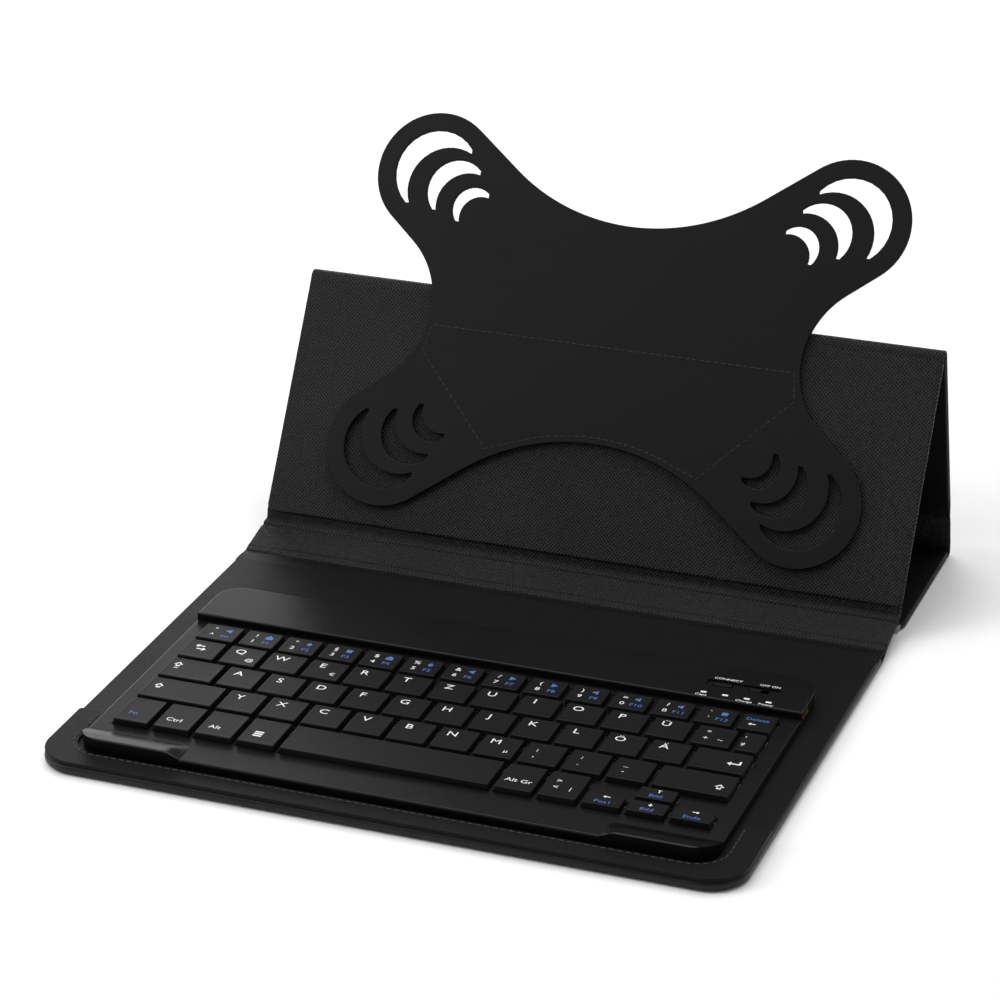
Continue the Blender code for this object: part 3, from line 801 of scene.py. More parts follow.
@dataclass(frozen=True)
class PressedFibre(Finish):
    """Grey board, circuit laminate or film: a flat fibre speckle."""

    roughness: float = 0.8

    def weave(self, graph: NodeGraph) -> bpy.types.Material:
        """Speckles of fibre.

        Args:
            graph: the material's nodes.

        Returns:
            The material.
        """
        solid = graph.place(Coordinates.SOLID)
        speck = graph.noise(solid, 0.7, 4.0, 0.7)
        spread = graph.swing(speck, self.roughness - 0.08, self.roughness + 0.08)
        return graph.finish(self.tinted(graph, speck, 0.3), spread, graph.emboss(speck, 0.03))


@dataclass(frozen=True)
class ClearPlastic(Finish):
    """Clear light guide with a milky tint."""

    def weave(self, graph: NodeGraph) -> bpy.types.Material:
        """Milky depth and a smooth face.

        Args:
            graph: the material's nodes.

        Returns:
            The material.
        """
        solid = graph.place(Coordinates.SOLID)
        milk = graph.noise(solid, 0.6, 2.0)
        return graph.finish(self.tinted(graph, milk, 0.12), graph.swing(milk, 0.12, 0.2),
                            graph.emboss(milk, 0.01), Transmission_Weight=0.35, IOR=1.49)


@dataclass(frozen=True)
class Palette:
    """Every finish of the case."""

    grained: Finish = CrossGrain("cross_grained_leatherette", (0.0142, 0.0142, 0.0158))
    cover: Finish = SmoothLeather("smooth_leatherette", (0.0034, 0.0034, 0.0040))
    edge: Finish = SmoothLeather("turned_edge_leatherette", (0.0034, 0.0034, 0.0040), roughness=0.34,
                                 shine=0.3)
    lining: Finish = SmoothLeather("lining_leatherette", (0.0022, 0.0022, 0.0027), grain=0.42,
                                   roughness=0.42)
    holder: Finish = StretchRubber("stretch_sheet", (0.0042, 0.0042, 0.0048))
    shell: Finish = Moulded("satin_shell", (0.0034, 0.0034, 0.0037), roughness=0.30, depth=0.008)
    keycap: Finish = Moulded("matte_keycap", (0.0044, 0.0044, 0.0048), roughness=0.44, depth=0.014,
                             shine=0.14)
    white_ink: Finish = PrintedInk("white_legend_ink", (0.82, 0.83, 0.84))
    blue_ink: Finish = PrintedInk("blue_legend_ink", (0.06, 0.13, 0.42))
    grey_thread: Finish = Twine("blue_grey_thread", (0.030, 0.034, 0.044))
    dark_thread: Finish = Twine("dark_thread", (0.011, 0.011, 0.012))
    board: Finish = PressedFibre("grey_board", (0.26, 0.25, 0.23))
    film: Finish = PressedFibre("membrane_film", (0.35, 0.38, 0.36), roughness=0.35)
    circuit: Finish = PressedFibre("circuit_laminate", (0.02, 0.16, 0.07), roughness=0.4)
    cell: Finish = PressedFibre("cell_wrap", (0.45, 0.46, 0.48), roughness=0.3)
    plated: Finish = SheetMetal("plated_socket", (0.86, 0.66, 0.30), roughness=0.24)
    steel: Finish = SheetMetal("catch_steel", (0.55, 0.55, 0.56), roughness=0.32)
    guide: Finish = ClearPlastic("light_guide", (0.42, 0.43, 0.45))


PALETTE = Palette()


# ---------------------------------------------------------------- stitching
@dataclass(frozen=True)
class Stitching:
    """A row of lockstitches laid along a path on a panel."""

    length: float = 2.3
    pitch: float = 3.1
    thickness: float = 0.42
    sunk: float = 0.10

    def spaced(self, path: Outline) -> list[tuple[float, float, float]]:
        """Spreads stitches at even steps along a path.

        Args:
            path: the seam.

        Returns:
            Each stitch's x, s and angle in radians.
        """
        runs = [(Vector(a), Vector(b)) for a, b in zip(path, path[1:])]
        total = sum((b - a).length for a, b in runs)
        count = max(1, round(total / self.pitch))
        step, travelled, wanted = total / count, 0.0, total / count / 2
        places = []
        for a, b in runs:
            reach = (b - a).length
            while wanted <= travelled + reach and reach > 0:
                spot = a + (b - a) * ((wanted - travelled) / reach)
                places.append((spot.x, spot.y, math.atan2(b.y - a.y, b.x - a.x)))
                wanted += step
            travelled += reach
        return places

    def sew(self, bm: bmesh.types.BMesh, path: Outline, level: float, sides: int = 6) -> None:
        """Adds the stitches, each a plump thread that dips into its two holes.

        Args:
            bm: where they are added.
            path: the seam.
            level: height of the surface that is sewn.
            sides: sides of the thread's section.
        """
        profile = [(-0.5, 0.10), (-0.42, 0.62), (-0.2, 0.95), (0.2, 0.95), (0.42, 0.62), (0.5, 0.10)]
        half = self.thickness / 2
        for x, s, heading in self.spaced(path):
            rings = []
            for share, swell in profile:
                along, dip = share * self.length, self.thickness * 1.3 * abs(share) ** 2.2
                ring = []
                for k in range(sides):
                    angle = 2 * math.pi * k / sides
                    across = half * swell * math.cos(angle)
                    up = half * swell * math.sin(angle) + half - self.sunk - dip
                    ring.append((x + along * math.cos(heading) - across * math.sin(heading),
                                 s + along * math.sin(heading) + across * math.cos(heading), level + up))
                rings.append(ring)
            loft(bm, rings)


# ---------------------------------------------------------------- base
@dataclass(kw_only=True)
class Base(Assembly):
    """Lower cover of the case: turned skin, smooth lining and the U-shaped band round the keyboard."""

    corner: float = 15.0
    rear_corner: float = 3.0
    lining_margin: float = 0.55
    lining_depth: float = 0.75
    band_soft: float = 0.3
    band_arm_end: float = 40.5       # from the case's front
    keyboard_corner: float = 9.0
    band_clearance: float = 1.6
    seam_from_keyboard: float = 3.3

    def build(self) -> None:
        """Makes the skin, lining, band and the band's stitches."""
        low, high = self.layout.box("base_skin")
        top = self.layout.box("base_lining")[1].z
        outline = rounded_rectangle(low.x, high.x, low.y, high.y, self.corner, self.rear_corner, 14)
        bm = bmesh.new()
        seam = top - self.lining_depth
        soft_slab(bm, outline, low.z, seam + 0.1, 1.7, 1.5)
        skin = self.piece("base_cover", bm, GROUND, [PALETTE.edge])
        self.settle(skin, "base_case", "cover", "base_skin", "base_board")

        bm = bmesh.new()
        soft_slab(bm, inset(outline, self.lining_margin), seam - 0.4, top, 0.3, 0.5)
        lining = self.piece("base_lining_sheet", bm, GROUND, [PALETTE.lining])
        self.settle(lining, "base_case", "cover", "base_lining")
        self.build_band(low, high)

    def build_band(self, low: Vector, high: Vector) -> None:
        """Band glued over the lining round the keyboard's front half, with its seam.

        Args:
            low: lowest corner of the base's skin.
            high: its highest corner.
        """
        floor, roof = self.layout.box("front_band")
        keys, keys_end = self.layout.box("keyboard_top_case")
        back = low.y + self.band_arm_end
        outer = arc(low.x + self.corner, low.y + self.corner, self.corner, 180, 270, 14)
        outer += arc(high.x - self.corner, low.y + self.corner, self.corner, 270, 360, 14)
        reach, radius = keys_end.x + self.band_clearance, self.keyboard_corner + self.band_clearance
        front = keys.y - self.band_clearance
        inner = arc(reach - radius, front + radius, radius, 0, -90, 12)
        inner += arc(-reach + radius, front + radius, radius, 270, 180, 12)
        end = [(high.x, back - 1.0), (high.x - 0.8, back), (reach + 0.6, back), (reach, back - 0.8)]
        ring = outer + end + inner + [(-x, y) for x, y in reversed(end)]
        bm = bmesh.new()
        soft_slab(bm, inset(ring, 0.25), floor.z - 0.35, roof.z, 0.1, self.band_soft)
        band = self.piece("front_band_sheet", bm, GROUND, [PALETTE.cover])
        self.settle(band, "base_case", "cover", "front_band")

        gap = self.seam_from_keyboard
        reach, radius = keys_end.x + gap, self.keyboard_corner + gap
        front = keys.y - gap
        path = [(-reach, back - 3.0)] + arc(-reach + radius, front + radius, radius, 180, 270, 12)
        path += arc(reach - radius, front + radius, radius, 270, 360, 12) + [(reach, back - 3.0)]
        bm = bmesh.new()
        Stitching().sew(bm, path, roof.z)
        seam = self.piece("front_band_stitches", bm, GROUND, [PALETTE.grey_thread])
        self.settle(seam, "base_case", "cover")


# ---------------------------------------------------------------- keyboard
@dataclass(frozen=True)
class Row:
    """A row of keys: front edge from the case's front, depth, first cell, pitch and number of pitches."""

    front: float
    depth: float
    first: float
    pitch: float
    count: int

    def cells(self, left: float, right: float) -> list[Point]:
        """Start and end of each key's cell."""
        edges = [left] + [left + self.first + self.pitch * i for i in range(self.count + 1)] + [right]
        return list(zip(edges, edges[1:]))


class Ink(Enum):
    """Material index of each printing ink on a key; bare leaves the cap's own colour inside a mark."""

    BARE = 0
    WHITE = 1
    BLUE = 2


class Sign(Enum):
    """Plain shapes printed beside the lettering."""

    HOUSE = ((-1, -1), (1, -1), (1, 0.1), (0, 1.1), (-1, 0.1))
    PLAY = ((-0.8, -1), (0.9, 0), (-0.8, 1))
    BACK = ((0.8, -1), (0.8, 1), (-0.9, 0))
    STOP = ((-0.8, -0.8), (0.8, -0.8), (0.8, 0.8), (-0.8, 0.8))
    HORN = ((-1, -0.4), (-0.4, -0.4), (0.4, -1), (0.4, 1), (-0.4, 0.4), (-1, 0.4))
    KITE = ((0, -1), (0.8, 0), (0, 1), (-0.8, 0))
    BAR = ((-1, -0.25), (1, -0.25), (1, 0.25), (-1, 0.25))
    LEFT = ((-1.2, 0), (-0.3, -0.8), (-0.3, -0.2), (1.2, -0.2), (1.2, 0.2), (-0.3, 0.2), (-0.3, 0.8))
    RETURN = ((-1.3, -0.3), (-0.5, -1.0), (-0.5, -0.5), (1.4, -0.5), (1.4, 0.9), (1.0, 0.9), (1.0, -0.1),
              (-0.5, -0.1), (-0.5, 0.4))
    UP = ((0, 1.2), (-0.8, 0.3), (-0.2, 0.3), (-0.2, -1.2), (0.2, -1.2), (0.2, 0.3), (0.8, 0.3))
    SHIFT = ((0, 1.1), (-1.05, 0), (-0.5, 0), (-0.5, -0.9), (0.5, -0.9), (0.5, 0), (1.05, 0))


@dataclass(frozen=True)
class Legend:
    """One printed mark on a key: text or a sign, with its size, place from the key's centre and ink."""

    mark: str | Sign
    size: float
    x: float
    y: float
    ink: Ink = Ink.WHITE
    turn: float = 0.0


Marks = tuple[Legend, ...]


def letter(text: str, *more: Legend) -> Marks:
    """A letter key: its capital near the back, left of the middle."""
    return (Legend(text, 4.7, -2.2, 3.1), *more)


def pair(shifted: str, plain: str, *more: Legend) -> Marks:
    """A key with two signs, one above the other."""
    return (Legend(shifted, 3.3, -2.7, 2.4), Legend(plain, 3.3, -2.7, -2.2), *more)


def number(shifted: str, plain: str, index: int, sign: Sign) -> Marks:
    """A number key, with a blue function sign and its function number."""
    return pair(shifted, plain, Legend(sign, 1.5, 2.7, 2.2, Ink.BLUE),
                Legend(f"F{index}", 2.9, 2.7, -2.3, Ink.BLUE))


def named(text: str, x: float = -1.2, y: float = -2.2, ink: Ink = Ink.WHITE) -> Marks:
    """A key with a short word near its front."""
    return (Legend(text, 3.3, x, y, ink),)


def hollow(x: float, y: float) -> Marks:
    """A white arrow with an open middle."""
    return (Legend(Sign.SHIFT, 1.75, x, y), Legend(Sign.SHIFT, 0.95, x, y, Ink.BARE))


def cursor(sign: Sign, turn: float, word: str) -> Marks:
    """A cursor key: a white arrow with a blue word in front of it."""
    return (Legend(sign, 1.1, 0.4, 2.2, Ink.WHITE, turn), Legend(word, 2.9, 0.0, -1.6, Ink.BLUE))


NUMBER_LEGENDS = [
    pair("°", "^", Legend(Sign.BACK, 1.5, 2.9, 2.2, Ink.BLUE), Legend("Esc", 2.4, 2.9, -2.3, Ink.BLUE)),
    *[number(shifted, str((i + 1) % 10), i + 1, sign) for i, (shifted, sign) in enumerate(zip(
        "!\"§$%&/()=", (Sign.HOUSE, Sign.KITE, Sign.STOP, Sign.HOUSE, Sign.KITE, Sign.BACK, Sign.PLAY,
                        Sign.PLAY, Sign.HORN, Sign.HORN)))],
    number("?", "ß", 11, Sign.HORN), number("`", "´", 12, Sign.STOP),
    (Legend("Delete", 2.8, -0.4, 2.0, Ink.BLUE), Legend(Sign.LEFT, 1.2, -1.6, -1.8)),
]
TOP_LEGENDS = [
    (Legend(Sign.LEFT, 1.6, -1.8, 2.6), Legend(Sign.LEFT, 1.6, -0.6, 0.2, Ink.WHITE, 180.0)),
    letter("Q", Legend("@", 3.0, 3.6, -2.4)), letter("W"), letter("E", Legend("€", 3.0, 3.6, -2.4)),
    *[letter(c) for c in "RTZUIOPÜ"], pair("*", "+", Legend("~", 3.0, 3.0, -2.2)), pair("'", "#")]
HOME_LEGENDS = [(*hollow(-6.6, 2.4), Legend(Sign.BAR, 0.8, -6.6, -0.4)),
                *[letter(c) for c in "ASDFGHJKLÖÄ"],
                (Legend(Sign.RETURN, 1.9, 5.2, -0.4),)]
SINGLE_LEGENDS: dict[str, Marks] = {
    "shift_left": hollow(-10.2, 1.4), "shift_right": hollow(9.4, -1.6),
    **{name: letter(name.upper()) for name in "yxcvbn"}, "m": letter("M", Legend("µ", 3.0, 3.6, -2.6)),
    "comma": pair(";", ","), "period": pair(":", "."), "hyphen": pair("_", "-"),
    "fn": named("Fn", -1.6, -2.6, Ink.BLUE), "ctrl": named("Ctrl", -1.4, -2.6),
    "alt": named("Alt", -1.8, -2.6),
    "menu": tuple(Legend(Sign.BAR, 1.7, -1.6, y) for y in (-0.6, -2.0, -3.4)),
    "alt_gr": named("Alt Gr", 0.0, -2.6), "bracket": pair(">", "<", Legend("|", 3.0, 3.0, -2.2)),
    "left": cursor(Sign.LEFT, 0.0, "Pos1"), "right": cursor(Sign.LEFT, 180.0, "Ende"),
    "up": cursor(Sign.UP, 0.0, "Bild"), "down": cursor(Sign.UP, 180.0, "Bild"),
}


@dataclass(kw_only=True)
class Keyboard(Assembly):
    """Keyboard shell, keys with their legends, and the small controls on the rear bar."""

    rows: tuple[tuple[str, Row, Sequence[Marks]], ...] = (
        ("number_row_keys", Row(99.6, 12.6, 18.0, 16.67, 12), NUMBER_LEGENDS),
        ("top_row_keys", Row(83.4, 14.5, 17.1, 17.1, 12), TOP_LEGENDS),
        ("home_row_keys", Row(66.3, 15.3, 24.0, 16.9, 11), HOME_LEGENDS))
    gap: float = 1.85                # between keys
    foot_round: float = 0.7
    taper: float = 0.35
    crown: float = 0.38
    dish: float = 0.06
    ink_film: float = 0.02
    wide: float = 1.18               # how much wider than usual the lettering is
    shell_bevel: float = 0.42
    bar_size: float = 1.9
    # lettering on the bar: word, x, distance from the case's front
    bar_words: tuple[tuple[str, float, float], ...] = (
        ("CONNECT", 89.3, 133.5), ("OFF ON", 105.6, 133.5), ("Caps", 83.0, 118.9),
        ("Charge", 99.6, 118.9), ("Power", 108.2, 118.9))

    def build(self) -> None:
        """Dresses the shell and makes the keys and controls."""
        for node, finish in (("keyboard_top_case", PALETTE.shell), ("keyboard_bottom_case", PALETTE.shell),
                             ("membrane_sheet", PALETTE.film), ("circuit_board", PALETTE.circuit),
                             ("battery", PALETTE.cell), ("usb_socket", PALETTE.plated),
                             ("led_light_guide", PALETTE.guide)):
            self.dress(node, finish)
        self.soften(frame["nodes"]["keyboard_top_case"])
        front = self.layout.box("base_skin")[0].y
        for name, row, legends in self.rows:
            low, high = self.layout.box(name)
            spans = row.cells(low.x - self.gap / 2, high.x + self.gap / 2)
            spans = [(a + self.gap / 2, b - self.gap / 2) for a, b in spans]
            self.bank(name, spans, front + row.front, front + row.front + row.depth, legends, low.z, high.z)
        for name, legends in [*SINGLE_LEGENDS.items(), ("space", ())]:
            low, high = self.layout.box("key_" + name)
            self.bank("key_" + name, [(low.x, high.x)], low.y, high.y, [legends], low.z, high.z)
        self.build_controls()
        bar = self.layout.box("keyboard_top_case")[1].z
        bm = bmesh.new()
        for word, x, y in self.bar_words:
            self.print_mark(bm, Legend(word, self.bar_size, 0, 0), x, front + y, bar)
        for face in bm.faces:
            face.material_index = 0
        words = self.piece("bar_lettering", bm, GROUND, [PALETTE.white_ink])
        self.settle(words, "base_case", "shell")

    def soften(self, shell: bpy.types.Object) -> None:
        """Breaks the shell's hard edges, as a mould does.

        Args:
            shell: the keyboard's top case.
        """
        bevel = shell.modifiers.new("mould_radius", "BEVEL")
        bevel.width = self.shell_bevel * MM
        bevel.segments = 4
        bevel.limit_method = "ANGLE"
        bevel.angle_limit = math.radians(35)
        bevel.harden_normals = True

    def bank(self, name: str, spans: Sequence[Point], y0: float, y1: float,
             legends: Sequence[Iterable[Legend]], foot: float, top: float) -> None:
        """Makes one key, or a joined row of them on its web.

        Args:
            name: the CAD node and body that the keys ride on.
            spans: the keys' edges along x.
            y0: the keys' front edge.
            y1: their rear edge.
            legends: what is printed on each key.
            foot: height of the keys' feet.
            top: height of their tops.
        """
        bm = bmesh.new()
        for (x0, x1), marks in zip(spans, legends):
            self.cap(bm, x0, x1, y0, y1, foot, top)
            for mark in marks:
                self.print_mark(bm, mark, (x0 + x1) / 2, (y0 + y1) / 2, top - self.dish)
        finishes = [PALETTE.keycap, PALETTE.white_ink, PALETTE.blue_ink]
        if len(spans) > 1:
            web = rounded_rectangle(spans[0][0] + 0.2, spans[-1][1] - 0.2, y0 + 0.2, y1 - 0.2, 0.6, 0.6, 3)
            soft_slab(bm, web, foot, foot + 0.3, 0.05, 0.05, 0.2, len(finishes))
            finishes.append(PALETTE.shell)
        caps = self.piece(name + "_caps", bm, GROUND, finishes)
        self.settle(caps, name, "keycap", name)

    def cap(self, bm: bmesh.types.BMesh, x0: float, x1: float, y0: float, y1: float, foot: float,
            top: float) -> None:
        """A tapered cap with rolled edges and a shallow dished top.

        Args:
            bm: where it is added.
            x0: left edge.
            x1: right edge.
            y0: front edge.
            y1: rear edge.
            foot: height of its foot.
            top: height of its rim.
        """
        rings = [(0.0, foot), (0.05, foot + 0.3)]
        side = self.taper * 0.75
        rings += [(side + self.crown - x, top - self.crown + z)
                  for x, z in arc(0, 0, self.crown, 8, 90, 5)]
        rings += [(side + self.crown + 0.45, top - 0.01), (side + self.crown + 1.3, top - self.dish),
                  (side + self.crown + 1.7, top - self.dish)]
        loft(bm, [[(x, y, z) for x, y in self.ring(x0, x1, y0, y1, step)] for step, z in rings])

    def ring(self, x0: float, x1: float, y0: float, y1: float, step: float) -> Outline:
        """A key's outline moved inwards, with its corners tightened as far as they go."""
        radius = max(0.12, self.foot_round - step * 0.4)
        return rounded_rectangle(x0 + step, x1 - step, y0 + step, y1 - step, radius, radius, 4)

    def print_mark(self, bm: bmesh.types.BMesh, mark: Legend, cx: float, cy: float, top: float) -> None:
        """Prints one mark as a thin film of ink on the key's top.

        Args:
            bm: where it is added.
            mark: what is printed.
            cx: middle of the key along x.
            cy: middle of the key along y.
            top: height of the surface.
        """
        turn = Matrix.Rotation(math.radians(mark.turn), 4, "Z")
        level = top + self.ink_film * (1.5 if mark.ink is Ink.BARE else 0.5)
        place = Matrix.Translation((cx + mark.x, cy + mark.y, level)) @ turn
        known = len(bm.verts)
        if isinstance(mark.mark, Sign):
            shape = [(x * mark.size, y * mark.size) for x, y in mark.mark.value]
            loft(bm, [[(x, y, z) for x, y in shape] for z in (-self.ink_film, self.ink_film)])
        else:
            words = bpy.data.curves.new("legend", "FONT")
            words.body, words.size = mark.mark, mark.size
            words.align_x, words.align_y = "CENTER", "CENTER"
            words.extrude, words.resolution_u = self.ink_film, 3
            words.offset = 0.008
            holder = bpy.data.objects.new("legend", words)
            printed = bpy.data.meshes.new_from_object(holder)
            bm.from_mesh(printed)
            bpy.data.objects.remove(holder)
            bpy.data.curves.remove(words)
            bpy.data.meshes.remove(printed)
            place = place @ Matrix.Diagonal((self.wide, 1, 1, 1))
        bm.verts.ensure_lookup_table()
        fresh = bm.verts[known:]
        bmesh.ops.transform(bm, matrix=place, verts=fresh)
        for face in {f for v in fresh for f in v.link_faces}:
            face.material_index = mark.ink.value

    def build_controls(self) -> None:
        """Connect button and power switch, each a soft-edged slider in the bar's recess."""
        for node, ribs in (("connect_button", 0), ("power_switch", 3)):
            low, high = self.layout.box(node)
            bm = bmesh.new()
            outline = rounded_rectangle(low.x, high.x, low.y, high.y, 0.8, 0.8, 6)
            soft_slab(bm, outline, low.z, high.z - (0.12 if ribs else 0.0), 0.1, 0.25, 0.2)
            for k in range(ribs):
                x = (low.x + high.x) / 2 + (k - (ribs - 1) / 2) * 0.9
                rib = rounded_rectangle(x - 0.2, x + 0.2, low.y + 0.4, high.y - 0.4, 0.18, 0.18, 3)
                soft_slab(bm, rib, high.z - 0.3, high.z, 0.02, 0.1, 0.04)
            made = self.piece(node + "_cap", bm, GROUND, [PALETTE.keycap])
            self.settle(made, node, "keycap", node)


# ---------------------------------------------------------------- folding cover
@dataclass(kw_only=True)
class Panel(Assembly):
    """A stiff panel of the cover: grained sheet turned over its rims and smooth cloth on the other side."""

    prefix: str
    body: str
    plane: PanelPlane
    start: float                     # from the panel's crease to its near edge
    end: float                       # and to its far edge
    top: float = 0.0                 # height of the grained face over the plane
    far_corner: float = 3.0
    thickness: float = 3.0
    turned: float = 0.95             # how much of the thickness the grained sheet's edge shows
    side_corner: float = 3.0
    board_margin: float = 1.3

    def build(self) -> None:
        """Makes the grained face and the smooth back, and dresses what is between them."""
        low, high = self.layout.box(self.prefix + "_facing")
        outline = rounded_rectangle(low.x, high.x, self.start, self.end, self.side_corner, self.far_corner)
        bm = bmesh.new()
        soft_slab(bm, outline, self.top - self.thickness + self.turned, self.top, 0.7, 0.95)
        face = self.piece(self.prefix + "_grained_face", bm, self.plane, [PALETTE.grained])
        self.settle(face, self.body, "grained", self.prefix + "_facing")
        bm = bmesh.new()
        under = self.top - self.thickness
        soft_slab(bm, inset(outline, 0.25), under, under + self.turned + 0.3, 0.55, 0.2)
        back = self.piece(self.prefix + "_smooth_back", bm, self.plane, [PALETTE.cover])
        self.settle(back, self.body, "cover", self.prefix + "_cover")
        bm = bmesh.new()
        margin = self.board_margin
        core = rounded_rectangle(low.x + margin, high.x - margin, self.start + margin, self.end - margin,
                                 1.0, 1.0)
        soft_slab(bm, core, under + 0.6, self.top - 0.9, 0.1, 0.1, 0.2)
        board = self.piece(self.prefix + "_grey_board", bm, self.plane, [PALETTE.board])
        self.settle(board, self.body, "greyboard", self.prefix + "_board")


@dataclass(kw_only=True)
class Strip(Assembly):
    """A narrow strip of grained sheet between two creases."""

    node: str
    body: str
    plane: PanelPlane
    start: float
    end: float
    low: float
    high: float
    corner: float = 1.6

    def build(self) -> None:
        """Makes the strip."""
        low, high = self.layout.box(self.node)
        soft = (self.high - self.low) * 0.45
        bm = bmesh.new()
        soft_slab(bm, rounded_rectangle(low.x, high.x, self.start, self.end, self.corner, self.corner, 6),
                  self.low, self.high, soft, soft)
        made = self.piece(self.node + "_sheet", bm, self.plane, [PALETTE.grained])
        self.settle(made, self.body, "grained", self.node)


@dataclass(frozen=True)
class Bend:
    """Cloth across one crease: its name, bodies, path seen from the side, thickness and finish."""

    name: str
    near: str
    far: str
    path: tuple[Point, ...]
    thickness: float
    finish: Finish
    turn_from: tuple[float, float, float]
    turn_to: tuple[float, float, float]
    slot: str = "grained"


@dataclass(kw_only=True)
class HingeCloth(Assembly):
    """The cloth that joins base, spine, panels, closure strip and flap across their creases."""

    steps: int = 6                   # between two points of a path
    side_gap: float = 0.15           # how far the cloths stay inside the case's sides
    side_fade: tuple[Point, ...] = ((0.0, 0.35), (0.15, 0.8), (0.45, 1.0))

    def smooth_path(self, points: Sequence[Point]) -> list[Vector]:
        """Runs a smooth curve through a path's points.

        Args:
            points: the path.

        Returns:
            Closely spaced points on the curve.
        """
        ends = [2 * Vector(points[0]) - Vector(points[1]), *[Vector(p) for p in points],
                2 * Vector(points[-1]) - Vector(points[-2])]
        curve = []
        for a, b, c, d in zip(ends, ends[1:], ends[2:], ends[3:]):
            for k in range(self.steps):
                t = k / self.steps
                curve.append(0.5 * (2 * b + (c - a) * t + (2 * a - 5 * b + 4 * c - d) * t * t
                                    + (3 * b - a - 3 * c + d) * t ** 3))
        return curve + [Vector(points[-1])]

    def bend(self, spec: Bend, width: float) -> bpy.types.Object:
        """Makes one strip of cloth and lets it bend between its two bodies.

        Args:
            spec: what the strip is.
            width: how far it reaches to each side.

        Returns:
            The strip.
        """
        curve = self.smooth_path(spec.path)
        normals = []
        for i in range(len(curve)):
            along = curve[min(i + 1, len(curve) - 1)] - curve[max(i - 1, 0)]
            normals.append(Vector((-along.y, along.x)).normalized())
        lengths = [0.0]
        for a, b in zip(curve, curve[1:]):
            lengths.append(lengths[-1] + (b - a).length)
        total = lengths[-1]
        rings, marks = [], []
        for x, share in self.stations(width):
            ring = []
            for side in (1, -1):
                for i in range(len(curve))[::side]:
                    fade = min(1.0, 0.25 + min(lengths[i], total - lengths[i]) / 0.8)
                    spot = curve[i] + normals[i] * (side * spec.thickness / 2 * share * fade)
                    ring.append((x, spot.x, spot.y))
                    marks.append((x, lengths[i]))
            rings.append(ring)
        bm = bmesh.new()
        uv = bm.loops.layers.uv.new("pattern")
        loft(bm, rings)
        bm.verts.index_update()
        for face in bm.faces:
            for loop in face.loops:
                loop[uv].uv = marks[loop.vert.index]
        made = self.piece(spec.name, bm, GROUND, [spec.finish], smooth=60, mapped=True)
        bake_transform(made)
        return made

    def stations(self, width: float) -> list[Point]:
        """Sections across a cloth: x and share of its thickness, which fades at both sides."""
        return ([(-width + step, share) for step, share in self.side_fade]
                + [(width - step, share) for step, share in reversed(self.side_fade)])

    def base_bends(self) -> tuple[Bend, ...]:
        """Lining and cover from the base on to the spine.

        Returns:
            Both strips.
        """
        spine, _ = self.layout.spine()
        rear, top = self.layout.box("base_skin")[1].y, self.layout.box("base_lining")[1].z
        lining = ((rear - 7.0, top - 0.42), (rear - 4.5, top - 0.31), (rear - 1.2, top - 0.32),
                  (rear + 0.6, top - 0.55), *spine.run(0.0, (1.0, -0.80), (3.2, -0.50), (5.0, -0.44)))
        cover = ((rear - 4.5, 0.75), (rear - 1.0, 0.8), (rear + 1.6, 1.5),
                 *spine.run(0.0, (2.6, -2.2), (5.5, -1.85), (8.0, -1.8)))
        return (Bend("base_hinge_lining", "base_case", "spine", lining, 0.7, PALETTE.lining,
                     spine.metres(-2.6), spine.metres(3.4), "cover"),
                Bend("base_hinge_cover", "base_case", "spine", cover, 0.8, PALETTE.cover,
                     spine.metres(-3.0), spine.metres(4.4), "cover"))

    def display_bends(self) -> tuple[Bend, ...]:
        """Grooved cloth and its backing, from the spine on to the display panel.

        Returns:
            Both strips.
        """
        spine, length = self.layout.spine()
        display, _ = self.layout.display()
        cloth = (*spine.run(length, (-5.2, -1.05), (-3.2, -1.15), (-2.1, -1.65), (-0.9, -0.55),
                            (0.6, -0.55), (2.4, -0.55)),
                 *display.run(0.0, (2.9, -1.75), (4.6, -1.15), (6.6, -1.15)))
        backing = (*spine.run(length, (-6.0, -1.75), (-2.4, -1.75), (0.6, -2.2)),
                   *display.run(0.0, (2.2, -2.75), (4.6, -2.65), (6.5, -2.6)))
        near = spine.metres(length - 2.4)
        return (Bend("display_crease_cloth", "spine", "display_panel", cloth, 0.7, PALETTE.grained,
                     near, display.metres(3.6)),
                Bend("display_crease_backing", "spine", "display_panel", backing, 0.7, PALETTE.cover,
                     near, display.metres(3.4), "cover"))

    def fold_bends(self) -> tuple[Bend, ...]:
        """Cloth that bulges over the panels' round rims at the top fold, and its backing.

        Returns:
            Both strips.
        """
        display, length = self.layout.display()
        leg, _ = self.layout.leg()
        crease = self.layout.crease("fold_hinge")
        over = arc(crease.x, crease.y, self.layout.panel - 0.42, display.slope + 90, leg.slope + 90, 6)
        cloth = (*display.run(length, (-4.4, -0.55), (-2.2, -0.5)), *over,
                 *leg.run(0.0, (2.2, -0.5), (4.4, -0.55)))
        backing = (*display.run(length, (-4.5, -2.75), (-1.4, -2.7), (0.4, -1.9)),
                   *leg.run(0.0, (-0.4, -1.9), (1.4, -2.7), (4.5, -2.75)))
        return (Bend("fold_cloth", "display_panel", "leg_panel", cloth, 0.95, PALETTE.grained,
                     display.metres(length - 0.4), leg.metres(0.4)),
                Bend("fold_backing", "display_panel", "leg_panel", backing, 0.7, PALETTE.cover,
                     display.metres(length - 1.2, -3.0), leg.metres(1.2, -3.0), "cover"))

